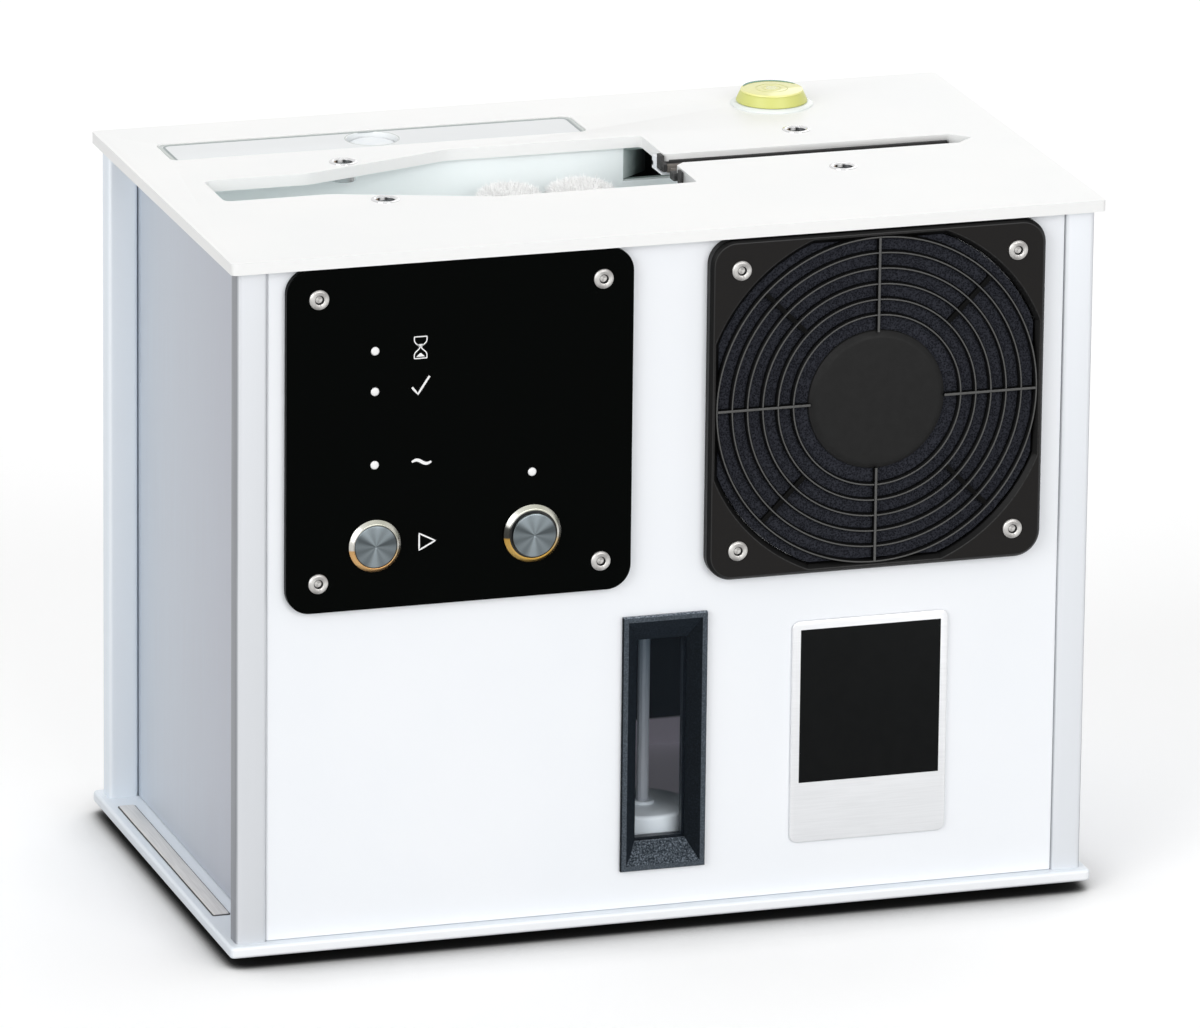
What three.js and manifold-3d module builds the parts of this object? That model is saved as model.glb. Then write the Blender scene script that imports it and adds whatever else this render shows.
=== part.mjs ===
// A bench-top record cleaning machine that washes one upright record and dries it with two fans.
// Millimetres. X runs to the right, Y to the back, Z up. The feet stand on Z = 0, under the origin.
import * as THREE from "three";
import { mergeVertices } from "three/addons/utils/BufferGeometryUtils.js";
import Module from "manifold-3d";

const wasm = await Module();
wasm.setup();

// General clearances and facets
const seam = 0.25; // between neighbours that meet
const runningGap = 0.3; // round a shaft in its bore
const overrun = 2; // how far a cut passes the face it opens
const curveSteps = 5; // along one rounded corner
const bigSides = 40;
const midSides = 24;
const smallSides = 12;

// Cabinet
const plateEndMargin = 18; // past the slot's tip
const plateDepth = 190;
const plateThickness = 4.25;
const plateCornerRadius = 2;
const footHeight = 4;
const footRadius = 9;
const footInset = 20; // from the plate's edges to a foot's axis
const postWidth = 11.5;
const postDepth = 9;
const postCornerRadius = 2;
const postOverhang = 3; // of the plates past the posts, left and right
const postSetback = 3.5; // of the posts' front faces behind the plates' edges
const panelThickness = 3;
const panelRecess = 1; // of the front and rear panels behind the posts' faces

// The record that the machine is built round
const recordRadius = 150.5;
const recordRise = 43; // of its centre above the top plate
const recordCentreX = 1.25;
const slotY = 1.5; // the record's plane
const recordEndClearance = 0.5;

// Opening in the top plate, from the record's plane outwards
const mouthNarrowHalf = 14.5;
const mouthWideHalf = 33.5;
const flareStart = -104;
const flareEnd = -46;
const flareRadius = 20;
const mouthCornerRadius = 3;
const stepX = 29;
const stepRadius = 1.5;
const stepChamfer = 3.25;
const slotHalf = 6.25;
const slotTaper = 7;
const slotTipRadius = 0.5;

// Rubber lips on their carriers, under the slot
const lipRebate = 1.5; // let into the plate's underside
const lipGapHalf = 2.4;
const lipWidth = 6.5;
const lipDepth = 8.5;
const lipChamfer = 1.5;
const lipEndClearance = 1.5;
const carrierWall = 1.5;

// Bushes in the top plate
const bushX = 87;
const bushMouthGap = 2.18; // between a bush and the edge of the opening
const bushRadius = 4.75;
const bushBoreRadius = 3.2;
const bushFlangeRadius = 5.25;
const bushFlangeHeight = 0.5;
const bushDrop = 2.5; // below the plate

// Wash bath
const bathClearance = 15.5; // between the record's edge and the bath's floor
const bathWall = 2.5;
const bathEndWall = 1.5;
const bathLap = 2.5; // of the wide part outside the opening
const bathNarrowHalf = 12;
const bathStepGap = 5; // between the bath's step and the wheel motor
const bathCornerRadius = 4;
const airPortInset = 5; // inside the duct's left side
const airPortWallGap = 2; // to the bath's step
const airPortDepth = 13; // down from the bath's rim
const shaftBossRadius = 6;
const shaftBossDrop = 3.5; // below the bath

// Filter trough behind the bath, under its own lid
const lidOverhang = 3.25; // past the left end of the slot
const lidDuctGap = 5.75; // to the rear air duct
const lidBathGap = 6.5; // behind the bath
const lidWidth = 23.5;
const lidCornerRadius = 3;
const lidThickness = 2.75;
const lidLedge = 3;
const lidPocketDepth = 3;
const fingerHoleRadius = 9.5;
const troughDepth = 63; // below the top plate's face
const troughInset = 3; // of its hollow inside the lid's outline
const overflowX = -50;
const overflowWidth = 22;
const overflowHeight = 10;
const overflowDrop = 37; // below the top plate's face
const spongeClearance = 0.5;
const spongeDrop = 23; // below the top plate's face

// Vertical microfibre rollers, two each side of the record
const rollerX = -27; // the left pair
const rollerSpreadY = 16; // each side of the record's plane
const rollerRadius = 12.5;
const rollerFloorGap = 8; // over the bath's floor
const rollerDrop = 14; // of the rollers' tops below the top plate's face
const rollerCrown = 4;
const rollerShaftRadius = 3;
const gearModule = 1.25;
const rollerTeeth = 22;
const pinionTeeth = 10;
const gearPlateGap = 3; // over the reservoir
const gearGap = 6; // over the gear plate
const shaftBossGap = 3; // from the gears to the bath's bosses
const gearWidth = 7;
const addendumShare = 0.8;
const dedendumShare = 1.2;
const toothSlack = 0.3;
const flankDegrees = 20;
const gearPlateThickness = 3;
const gearPlateLeft = -60;
const gearPlateRight = 20;
const gearPlateHalf = 38;
const standoffRadius = 3.5;
const standoffInset = 4;
const pinionShaftRadius = 2.5;
const motorRadius = 17;
const motorHeight = 56;
const motorBoreDepth = 9;

// Wheels that carry the record's edge
const wheelAngle = 25; // degrees each side of the record's lowest point
const wheelRadius = 7;
const wheelGroove = 1;
const wheelHalfWidth = 4;
const wheelGap = 0.25; // between groove and record
const axleRadius = 2;
const idlerPostRadius = 4;
const axleFrontReach = 8;
const driveMotorRadius = 11;
const driveMotorGap = 5; // to the face of the bath's wide part
const driveMotorBore = 8;

// Control plate and its buttons
const controlMarginX = 5.85; // to the panel's left end
const controlInsetX = 14.4; // from the machine's middle
const controlWidthOverHeight = 1.5;
const controlCornerRadius = 9;
const controlThickness = 2.75;
const startButtonShare = 0.2535; // of the plate's width
const powerButtonShare = 0.7093;
const buttonHeightShare = 0.1867;
const startFlangeRadius = 9.65;
const powerFlangeRadius = 10.8;
const startCapRadius = 7.4;
const powerCapRadius = 8;
const flangeHeight = 2;
const flangeRound = 0.6;
const barrelWall = 1.2;
const barrelLength = 20;
const capThickness = 5;
const powerCapRise = 1.5;
const capGap = 0.25;
const capRecessDepth = 9;
const holeClearance = 0.3;

// Control board with its four lamps
const boardMarginX = 3.5; // inside the control plate's ends
const boardMarginZ = 8.5;
const boardButtonGap = 15.2; // over the buttons' axes
const boardThickness = 1.6;
const boardStandoff = 3;
const boardPostRadius = 2.5;
const boardPostInset = 5;
const lampRadius = 1.5;
const lampHeightShares = [0.7514, 0.6337, 0.4204];
const powerLampHeightShare = 0.3647;
const boardPartDepth = 7;
const boardPartWidth = 24;
const boardPartHeight = 18;
const boardPartCount = 3;

// Fans, their guards and air ducts
const guardMarginX = 8.12; // to the panel's right end
const guardInsetX = 13.88; // from the machine's middle
const guardMarginZ = 0.38; // under the top plate
const fanMargin = 4.13; // inside the guard's edges
const fanDepth = 25;
const fanCornerRadius = 5;
const fanRim = 2.5; // of the fan frame outside its bore, at the middle of a side
const fanHubRadius = 20;
const fanHubThickness = 3;
const fanStrutWidth = 5;
const spindleRadius = 2.5;
const spindleLength = 14;
const rotorHubRadius = 21;
const rotorHubDepth = 16;
const bladeTipGap = 2;
const bladeCount = 7;
const bladeThickness = 1.6;
const bladeDepth = 12;
const bladePitch = 35; // degrees
const bladeRoot = 2; // how far a blade starts inside the hub
const guardCornerRadius = 9.5;
const guardDepth = 5;
const guardRim = 3.63; // at the middle of a side
const guardCornerReach = 5; // of the opening's round past its straight sides
const guardHubRadius = 25.85;
const guardBarDepth = 2;
const guardRingWidth = 1.2;
const guardRingFirst = 31.8;
const guardRingOverlap = 0.8; // of the last ring into the rim
const guardRingCount = 6;
const guardSpokeWidth = 1.4;
const ringSides = 32;
const diagonalSpokeInner = 37.5;
const foamThickness = 2.5;
const ductWall = 2;

// Level window, reservoir and float
const windowCentreX = -0.5;
const bezelWidth = 32;
const bezelFloorGap = 14.25; // over the front panel's lower edge
const bezelTankRise = 7.25; // over the reservoir's rim
const bezelProud = 2;
const bezelRim = 2;
const funnelDepth = 4.5;
const bezelSideBorder = 6.5;
const bezelEndBorder = 10;
const bezelShoulder = 2.5; // of the bezel's face past the hole in the panel
const paneThickness = 2.5;
const paneBorder = 4; // of the pane past the bezel's inner opening
const tankLeft = -20.5;
const tankPanelGap = 3.5; // to the front and rear panels
const tankTop = 112;
const tankWall = 3;
const stemRadius = 2.25;
const stemFootRadius = 7;
const stemFootHeight = 12;
const floatRadius = 17.5;
const floatThickness = 15;
const floatFlangeRadius = 4.4;
const floatFlangeHeight = 1.2;
const floatFrontClearance = 1;
const stemX = 1;
const stemTopClearance = 6;

// Pump, hose and ultrasonic transducer
const pumpX = -86;
const pumpPanelGap = 18.5;
const pumpRadius = 19;
const pumpHeight = 48;
const pumpHeadRadius = 14;
const pumpHeadHeight = 8;
const spoutRadius = 3;
const spoutHeight = 8;
const nippleX = -68;
const nippleY = -22;
const nippleRadius = 3;
const nippleBoreRadius = 1.5;
const nippleRise = 7; // of its mouth over the bath's bosses
const hoseWall = 1.5;
const hoseSides = 10;
const hoseRings = 16;
const transducerX = -85;
const transducerDrop = 52.75; // below the top plate's underside
const hornRadius = 21;
const hornNeckRadius = 14;
const hornLength = 14;
const stackRadius = 16;
const stackBoardGap = 4.65; // to the control board's parts

// Trim and rear fittings
const badgeWidth = 59.75;
const badgeOffsetX = 0.37; // right of the fan's axis
const badgeFloorGap = 19.5;
const badgeGuardGap = 18.88;
const badgeThickness = 1;
const badgeCornerRadius = 3;
const stripInset = 4; // from the plate's left edge
const stripWidth = 5.75;
const stripFrontInset = 37;
const stripBackInset = 23;
const stripThickness = 0.6;
const levelX = 90;
const levelInsetY = 28.5; // from the plate's back edge
const levelFlangeRadius = 15.3;
const levelFlangeHeight = 1.25;
const levelFootRadius = 13.4;
const levelTopRadius = 11.5;
const levelHeight = 6;
const inletInsetX = 39.25; // from the rear panel's end
const inletZ = 40;
const inletFlangeRadius = 9;
const inletFlangeHeight = 3;
const inletBarrelRadius = 6;
const inletBoreRadius = 3.25;
const inletPinRadius = 1;
const inletDepth = 14;
const drainInsetX = 39.25; // from the rear panel's end
const drainZ = 22;
const drainRadius = 7;
const drainHexRadius = 11;
const drainHexDepth = 3;
const drainBoreRadius = 4;
const drainProud = 7.5; // past the rear panel

// Heights that follow, from the reservoir up to the top plate
const gearPlateBottom = tankTop + gearPlateGap;
const trayTop = gearPlateBottom + gearPlateThickness;
const gearBottom = trayTop + gearGap;
const shaftBossBottom = gearBottom + gearWidth + shaftBossGap;
const bathFloor = shaftBossBottom + shaftBossDrop + bathWall;
const bathRadius = recordRadius + bathClearance; // of the hollow, about the record's centre
const recordCentreZ = bathFloor + bathRadius;
const topFace = recordCentreZ - recordRise;
const topUnder = topFace - plateThickness;
const baseTop = footHeight + plateThickness;
const panelBottom = baseTop + seam;
const panelTop = topUnder - seam;
const bathRim = topUnder - seam;
const rollerBottom = bathFloor + rollerFloorGap;
const rollerTop = topFace - rollerDrop;
const troughFloor = topFace - troughDepth;
const overflowZ = topFace - overflowDrop;
const spongeTop = topFace - spongeDrop;

// Faces that follow, from the record's chord in the slot out to the plates' edges
const chordHalf = Math.sqrt(recordRadius ** 2 - recordRise ** 2);
const mouthLeftX = recordCentreX - chordHalf - recordEndClearance;
const slotTipX = recordCentreX + chordHalf + recordEndClearance;
const slotTaperX = slotTipX - slotTaper;
const plateLength = 2 * (slotTipX + plateEndMargin);
const postOuterX = plateLength / 2 - postOverhang;
const postOuterY = plateDepth / 2 - postSetback;
const panelHalfWidth = postOuterX - postWidth - seam;
const panelOuterY = postOuterY - panelRecess;
const panelInnerY = panelOuterY - panelThickness;
const sideOuterX = panelHalfWidth;
const sideInnerX = sideOuterX - panelThickness;
const bathOuterX = sideInnerX - seam;

// Fan and control plate, left and right of the middle
const guardSize = panelHalfWidth - guardMarginX - guardInsetX;
const guardOpeningHalf = guardSize / 2 - guardRim;
const guardOpeningRadius = guardOpeningHalf + guardCornerReach;
const guardRingLast = guardOpeningHalf + guardRingOverlap;
const guardRingPitch = (guardRingLast - guardRingFirst) / (guardRingCount - 1);
const fanSize = guardSize - 2 * fanMargin;
const fanBoreRadius = fanSize / 2 - fanRim;
const rotorRadius = fanBoreRadius - bladeTipGap;
const fanCentreX = guardInsetX + guardSize / 2;
const fanCentreZ = topUnder - guardMarginZ - guardSize / 2;
const controlX0 = -panelHalfWidth + controlMarginX;
const controlX1 = -controlInsetX;
const controlWidth = controlX1 - controlX0;
const controlHeight = controlWidth - controlWidthOverHeight;
const controlZ1 = topUnder - seam;
const controlZ0 = controlZ1 - controlHeight;
const startButtonX = controlX0 + startButtonShare * controlWidth;
const powerButtonX = controlX0 + powerButtonShare * controlWidth;
const buttonZ = controlZ0 + buttonHeightShare * controlHeight;
const boardX0 = controlX0 + boardMarginX;
const boardX1 = controlX1 - boardMarginX;
const boardBottom = buttonZ + boardButtonGap;
const boardTop = controlZ1 - boardMarginZ;
const boardY = -panelInnerY + boardStandoff;

// Rollers, wheels and what stands behind the bath
const bathWideHalf = mouthWideHalf + bathLap;
const flareShareAtBush = (flareStart + bushX) / (flareStart - flareEnd);
const mouthHalfAtBush = mouthNarrowHalf + (mouthWideHalf - mouthNarrowHalf) * flareShareAtBush;
const bushSpreadY = mouthHalfAtBush + bushRadius + bushMouthGap; // each side of the record's plane
const driveMotorLength = bathWideHalf - bathNarrowHalf - driveMotorGap;
const pitchRadius = (teeth) => (teeth * gearModule) / 2;
const rollerRightX = rollerX + 2 * pitchRadius(rollerTeeth);
const pinionReach = pitchRadius(rollerTeeth) + pitchRadius(pinionTeeth);
const pinionX = rollerX - Math.sqrt(pinionReach ** 2 - rollerSpreadY ** 2);
const wheelDistance = recordRadius + wheelRadius - wheelGroove + wheelGap;
const wheelOffsetX = wheelDistance * Math.sin(THREE.MathUtils.degToRad(wheelAngle));
const wheelZ = recordCentreZ - wheelDistance * Math.cos(THREE.MathUtils.degToRad(wheelAngle));
const idlerX = recordCentreX - wheelOffsetX;
const driveX = recordCentreX + wheelOffsetX;
const bathStepX = driveX - driveMotorRadius - bathStepGap;
const airPortX0 = fanCentreX - fanSize / 2 + airPortInset;
const airPortX1 = bathStepX - airPortWallGap;
const lidX0 = mouthLeftX - lidOverhang;
const lidX1 = fanCentreX - fanSize / 2 - lidDuctGap;
const lidFrontY = slotY + bathWideHalf + bathWall + lidBathGap;
const lidBackY = lidFrontY + lidWidth;
const lidCentreY = (lidFrontY + lidBackY) / 2;
const fingerHoleX = (lidX0 + lidX1) / 2;

// Window, reservoir and float
const bezelBottom = panelBottom + bezelFloorGap;
const bezelHeight = tankTop + bezelTankRise - bezelBottom;
const windowCentreZ = bezelBottom + bezelHeight / 2;
const windowWidth = bezelWidth - 2 * bezelSideBorder;
const windowHeight = bezelHeight - 2 * bezelEndBorder;
const tankFrontY = -panelInnerY + tankPanelGap;
const tankBackY = panelInnerY - tankPanelGap;
const stemY = tankFrontY + tankWall + floatFrontClearance + floatRadius;
const pumpY = -panelInnerY + pumpPanelGap + pumpRadius;
const nippleBottom = shaftBossBottom + nippleRise;
const inletX = -panelHalfWidth + inletInsetX;
const drainX = panelHalfWidth - drainInsetX;

// Solids: a closed mesh goes in, a closed mesh comes out

function solid(geometry) {
  const bare = geometry.index ? geometry.toNonIndexed() : geometry.clone();
  bare.deleteAttribute("normal");
  bare.deleteAttribute("uv");
  const merged = mergeVertices(bare);
  return new wasm.Manifold(
    new wasm.Mesh({
      numProp: 3,
      vertProperties: merged.attributes.position.array,
      triVerts: new Uint32Array(merged.index.array),
    }),
  );
}

function surface(body) {
  const { vertProperties, triVerts } = body.getMesh();
  const geometry = new THREE.BufferGeometry();
  geometry.setAttribute("position", new THREE.BufferAttribute(new Float32Array(vertProperties), 3));
  geometry.setIndex(new THREE.BufferAttribute(new Uint32Array(triVerts), 1));
  return geometry;
}

const join = (...pieces) => surface(pieces.map(solid).reduce((sum, next) => sum.add(next)));
const cut = (piece, ...tools) => surface(tools.map(solid).reduce((left, tool) => left.subtract(tool), solid(piece)));
const common = (piece, other) => surface(solid(piece).intersect(solid(other)));

// Shapes

function block(x0, x1, y0, y1, z0, z1) {
  const box = new THREE.BoxGeometry(x1 - x0, y1 - y0, z1 - z0);
  return box.translate((x0 + x1) / 2, (y0 + y1) / 2, (z0 + z1) / 2);
}

// A closed outline from corners of the form [x, y, radius]; a radius of zero leaves a sharp corner. The two inner
// points of a round corner's curve stand where a cubic curve follows a circle's arc.
function outline(corners, Kind = THREE.Shape) {
  const path = new Kind();
  corners.forEach(([x, y, radius], index) => {
    const corner = new THREE.Vector2(x, y);
    const before = new THREE.Vector2(...corners.at(index - 1)).sub(corner).normalize();
    const after = new THREE.Vector2(...corners[(index + 1) % corners.length]).sub(corner).normalize();
    const halfAngle = Math.acos(THREE.MathUtils.clamp(before.dot(after), -1, 1)) / 2;
    const start = corner.clone().addScaledVector(before, radius / Math.tan(halfAngle));
    const end = corner.clone().addScaledVector(after, radius / Math.tan(halfAngle));
    if (index === 0) path.moveTo(start.x, start.y);
    else path.lineTo(start.x, start.y);
    if (radius === 0) return;
    const pullShare = (4 / 3) * Math.tan((Math.PI / 2 - halfAngle) / 2) * Math.tan(halfAngle);
    const [leave, arrive] = [start.clone().lerp(corner, pullShare), end.clone().lerp(corner, pullShare)];
    path.bezierCurveTo(leave.x, leave.y, arrive.x, arrive.y, end.x, end.y);
  });
  path.closePath();
  return path;
}

function rectangle(x0, x1, y0, y1, radius, Kind = THREE.Shape) {
  const corners = [
    [x0, y0, radius],
    [x1, y0, radius],
    [x1, y1, radius],
    [x0, y1, radius],
  ];
  return outline(corners, Kind);
}

function circle(x, y, radius, Kind = THREE.Shape) {
  const path = new Kind();
  path.absarc(x, y, radius, 0, 2 * Math.PI);
  return path;
}

// A plan outline raised from z0 to z1.
function raised(shape, z0, z1, steps = curveSteps) {
  const body = new THREE.ExtrudeGeometry(shape, { depth: z1 - z0, bevelEnabled: false, curveSegments: steps });
  return body.translate(0, 0, z0);
}

// An outline drawn in X and Z, carried from y0 back to y1.
function facing(shape, y0, y1, steps = curveSteps) {
  const body = new THREE.ExtrudeGeometry(shape, { depth: y1 - y0, bevelEnabled: false, curveSegments: steps });
  return body.rotateX(Math.PI / 2).translate(0, y1, 0);
}

function upright(x, y, radius, z0, z1, sides = smallSides) {
  const body = new THREE.CylinderGeometry(radius, radius, z1 - z0, sides);
  return body.rotateX(Math.PI / 2).translate(x, y, (z0 + z1) / 2);
}

function lengthways(x, z, radius, y0, y1, sides = smallSides) {
  const body = new THREE.CylinderGeometry(radius, radius, y1 - y0, sides);
  return body.translate(x, (y0 + y1) / 2, z);
}

// A profile of [radius, height] points turned about the vertical axis.
function turned(profile, sides = midSides) {
  const points = profile.map(([radius, height]) => new THREE.Vector2(radius, height));
  return new THREE.LatheGeometry(points, sides).rotateX(Math.PI / 2);
}

// A profile of [radius, distance] points turned about an axis that runs to the back.
function turnedBack(profile, sides = midSides) {
  return turned(profile, sides).rotateX(-Math.PI / 2);
}

// Finishes

const finish = (color, roughness, metalness) => new THREE.MeshStandardMaterial({ color, roughness, metalness });
const whitePowder = finish("#f3f5f5", 0.5, 0);
const anodised = finish("#c3c8cd", 0.42, 0.6);
const satinAluminium = finish("#d9dcde", 0.38, 0.7);
const brushedSteel = finish("#b9b7b0", 0.35, 0.9);
const chrome = finish("#d8dadb", 0.12, 1);
const glossBlack = finish("#0a0b0c", 0.15, 0);
const satinBlack = finish("#17181b", 0.5, 0);
const slatePlastic = finish("#2b3138", 0.6, 0);
const blackFoam = finish("#101318", 0.95, 0);
const blackRubber = finish("#1c1d1e", 0.8, 0);
const whitePlastic = finish("#e6eaec", 0.45, 0);
const clearPlastic = finish("#dfe7e6", 0.08, 0);
const vialGreen = finish("#d7e24a", 0.1, 0);
const whitePile = finish("#f4f4f1", 0.98, 0);
const floatWhite = finish("#dfe8ee", 0.4, 0);
const circuitGreen = finish("#1d5a3a", 0.5, 0);
const brass = finish("#b08d4a", 0.35, 0.9);

const group = new THREE.Group();

function add(name, geometry, material, parent = group) {
  const mesh = new THREE.Mesh(geometry, material);
  mesh.name = name;
  parent.add(mesh);
  return mesh;
}

// Cabinet

function plateOutline() {
  const halfX = plateLength / 2;
  const halfY = plateDepth / 2;
  return rectangle(-halfX, halfX, -halfY, halfY, plateCornerRadius);
}

function mouthOutline() {
  const rightOfStep = stepX + stepChamfer;
  const corners = [
    [mouthLeftX, -mouthNarrowHalf, mouthCornerRadius],
    [flareStart, -mouthNarrowHalf, flareRadius],
    [flareEnd, -mouthWideHalf, flareRadius],
    [stepX, -mouthWideHalf, stepRadius],
    [stepX, -slotHalf - stepChamfer, 0],
    [rightOfStep, -slotHalf, 0],
    [slotTaperX, -slotHalf, 0],
    [slotTipX, 0, slotTipRadius],
    [slotTaperX, slotHalf, 0],
    [stepX, slotHalf, stepRadius],
    [stepX, mouthWideHalf, stepRadius],
    [flareEnd, mouthWideHalf, flareRadius],
    [flareStart, mouthNarrowHalf, flareRadius],
    [mouthLeftX, mouthNarrowHalf, mouthCornerRadius],
  ];
  return outline(corners.map(([x, y, radius]) => [x, slotY + y, radius]), THREE.Path);
}

const bushPlaces = [-1, 1].flatMap((side) => [-1, 1].map((end) => [side * bushX, slotY + end * bushSpreadY]));
const lipOuterHalf = lipGapHalf + lipWidth + carrierWall;
const lipLeft = stepX - lipEndClearance;
const lipRight = slotTaperX;

function topPlate() {
  const shape = plateOutline();
  shape.holes.push(mouthOutline());
  const [left, right] = [lidX0 + lidLedge, lidX1 - lidLedge];
  const [front, back] = [lidFrontY + lidLedge, lidBackY - lidLedge];
  shape.holes.push(rectangle(left, right, front, back, lidCornerRadius / 2, THREE.Path));
  bushPlaces.forEach(([x, y]) => shape.holes.push(circle(x, y, bushRadius + seam, THREE.Path)));
  const plate = raised(shape, topUnder, topFace);
  const pocketShape = rectangle(lidX0, lidX1, lidFrontY, lidBackY, lidCornerRadius);
  const pocket = raised(pocketShape, topFace - lidPocketDepth, topFace + overrun);
  const [rebateHalf, rebateTop] = [lipOuterHalf + seam, topUnder + lipRebate];
  const rebateLeft = lipLeft - seam;
  const rebateRight = lipRight + seam;
  const rebate = block(rebateLeft, rebateRight, slotY - rebateHalf, slotY + rebateHalf, topUnder - overrun, rebateTop);
  return cut(plate, pocket, rebate);
}

// A post's section, with its outer corner towards -X and -Y.
function addPosts() {
  const places = { front_left: [-1, -1], front_right: [1, -1], rear_left: [-1, 1], rear_right: [1, 1] };
  for (const [place, [alongX, alongY]] of Object.entries(places)) {
    const [x0, x1] = [alongX * postOuterX, alongX * (postOuterX - postWidth)].sort((a, b) => a - b);
    const [y0, y1] = [alongY * postOuterY, alongY * (postOuterY - postDepth)].sort((a, b) => a - b);
    const post = raised(rectangle(x0, x1, y0, y1, postCornerRadius), baseTop, topUnder, 3);
    add(`${place}_post`, post, satinAluminium);
  }
}

function addFeet() {
  const footX = plateLength / 2 - footInset;
  const footY = plateDepth / 2 - footInset;
  const places = { front_left: [-1, -1], front_right: [1, -1], rear_left: [-1, 1], rear_right: [1, 1] };
  for (const [place, [alongX, alongY]] of Object.entries(places)) {
    const foot = upright(alongX * footX, alongY * footY, footRadius, 0, footHeight, midSides);
    add(`${place}_foot`, foot, blackRubber);
  }
}

const windowHoleHalfX = bezelWidth / 2 - bezelShoulder;
const windowHoleHalfZ = bezelHeight / 2 - bezelShoulder;
const barrelRadius = (capRadius) => capRadius + capGap + barrelWall;
const lampHeight = (share) => controlZ0 + share * controlHeight;
const lampColumn = lampHeightShares.map((share) => [startButtonX, lampHeight(share)]);
const lampPlaces = [...lampColumn, [powerButtonX, lampHeight(powerLampHeightShare)]];

function frontPanel() {
  const shape = rectangle(-panelHalfWidth, panelHalfWidth, panelBottom, panelTop, 0);
  const [x0, x1] = [windowCentreX - windowHoleHalfX, windowCentreX + windowHoleHalfX];
  const [z0, z1] = [windowCentreZ - windowHoleHalfZ, windowCentreZ + windowHoleHalfZ];
  shape.holes.push(rectangle(x0, x1, z0, z1, 0, THREE.Path));
  const panel = facing(shape, -panelOuterY, -panelInnerY);
  const [outer, inner] = [-panelOuterY - overrun, -panelInnerY + overrun];
  const air = lengthways(fanCentreX, fanCentreZ, fanBoreRadius, outer, inner, bigSides);
  return cut(panel, air, ...controlHoles(outer, inner));
}

// Holes for the two buttons and the four lamps.
function controlHoles(y0, y1) {
  const start = lengthways(startButtonX, buttonZ, barrelRadius(startCapRadius) + holeClearance, y0, y1, midSides);
  const power = lengthways(powerButtonX, buttonZ, barrelRadius(powerCapRadius) + holeClearance, y0, y1, midSides);
  const lamps = lampPlaces.map(([x, z]) => lengthways(x, z, lampRadius + seam, y0, y1));
  return [start, power, ...lamps];
}

function rearPanel() {
  const panel = block(-panelHalfWidth, panelHalfWidth, panelInnerY, panelOuterY, panelBottom, panelTop);
  const [inner, outer] = [panelInnerY - overrun, panelOuterY + overrun];
  const air = lengthways(fanCentreX, fanCentreZ, fanBoreRadius, inner, outer, bigSides);
  const inlet = lengthways(inletX, inletZ, inletBarrelRadius + holeClearance, inner, outer, midSides);
  const drain = lengthways(drainX, drainZ, drainRadius + holeClearance, inner, outer, midSides);
  return cut(panel, air, inlet, drain);
}

function addCabinet() {
  add("bottom_plate", raised(plateOutline(), footHeight, baseTop), whitePowder);
  add("top_plate", topPlate(), whitePowder);
  addPosts();
  addFeet();
  add("front_panel", frontPanel(), whitePowder);
  add("rear_panel", rearPanel(), whitePowder);
  const sideHalfDepth = panelInnerY - seam;
  for (const [name, side] of Object.entries({ left_panel: -1, right_panel: 1 })) {
    const [x0, x1] = [side * sideInnerX, side * sideOuterX].sort((a, b) => a - b);
    add(name, block(x0, x1, -sideHalfDepth, sideHalfDepth, panelBottom, panelTop), anodised);
  }
  const stripX0 = -plateLength / 2 + stripInset;
  const [stripY0, stripY1] = [stripFrontInset - plateDepth / 2, plateDepth / 2 - stripBackInset];
  const strip = rectangle(stripX0, stripX0 + stripWidth, stripY0, stripY1, 0);
  add("base_strip", raised(strip, baseTop, baseTop + stripThickness), brushedSteel);
}

// Bushes, lips, lid and level on the top plate

function bush() {
  const [bottom, top] = [topUnder - bushDrop, topFace + bushFlangeHeight];
  const profile = [
    [bushBoreRadius, bottom],
    [bushRadius, bottom],
    [bushRadius, topFace],
    [bushFlangeRadius, topFace],
    [bushFlangeRadius - bushFlangeHeight, top],
    [bushBoreRadius, top],
    [bushBoreRadius, bottom],
  ];
  return turned(profile, midSides);
}

// A lip's section, drawn for the rear lip: a rubber blade beside an angle that runs under it.
function lipStrip(side) {
  const top = topUnder + lipRebate - seam;
  const bottom = top - lipDepth;
  const [inner, outer] = [lipGapHalf, lipGapHalf + lipWidth + carrierWall];
  const corners = [
    [inner, bottom + lipChamfer],
    [inner + lipChamfer, bottom],
    [inner + lipChamfer, bottom - carrierWall],
    [outer, bottom - carrierWall],
    [outer, top],
    [inner, top],
  ];
  const section = outline(corners.map(([y, z]) => [side * y, z, 0]));
  const strip = new THREE.ExtrudeGeometry(section, { depth: lipRight - lipLeft, bevelEnabled: false });
  return strip.rotateX(Math.PI / 2).rotateZ(Math.PI / 2).translate(lipLeft, slotY, 0);
}

function addTopFittings() {
  const names = ["front_left_bush", "rear_left_bush", "front_right_bush", "rear_right_bush"];
  bushPlaces.forEach(([x, y], index) => add(names[index], bush(), chrome).position.set(x, y, 0));
  add("front_lip", lipStrip(-1), blackRubber);
  add("rear_lip", lipStrip(1), blackRubber);
  const lidShape = rectangle(lidX0 + seam, lidX1 - seam, lidFrontY + seam, lidBackY - seam, lidCornerRadius);
  lidShape.holes.push(circle(fingerHoleX, lidCentreY, fingerHoleRadius, THREE.Path));
  const lidBottom = topFace - lidPocketDepth;
  add("filter_lid", raised(lidShape, lidBottom, lidBottom + lidThickness, smallSides), clearPlastic);
  const levelProfile = [
    [0, 0],
    [levelFlangeRadius, 0],
    [levelFlangeRadius, levelFlangeHeight],
    [levelFootRadius, levelFlangeHeight],
    [levelTopRadius, levelHeight],
    [0, levelHeight],
  ];
  add("spirit_level", turned(levelProfile, midSides), vialGreen).position.set(levelX, plateDepth / 2 - levelInsetY, topFace);
}

// Bath

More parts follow.
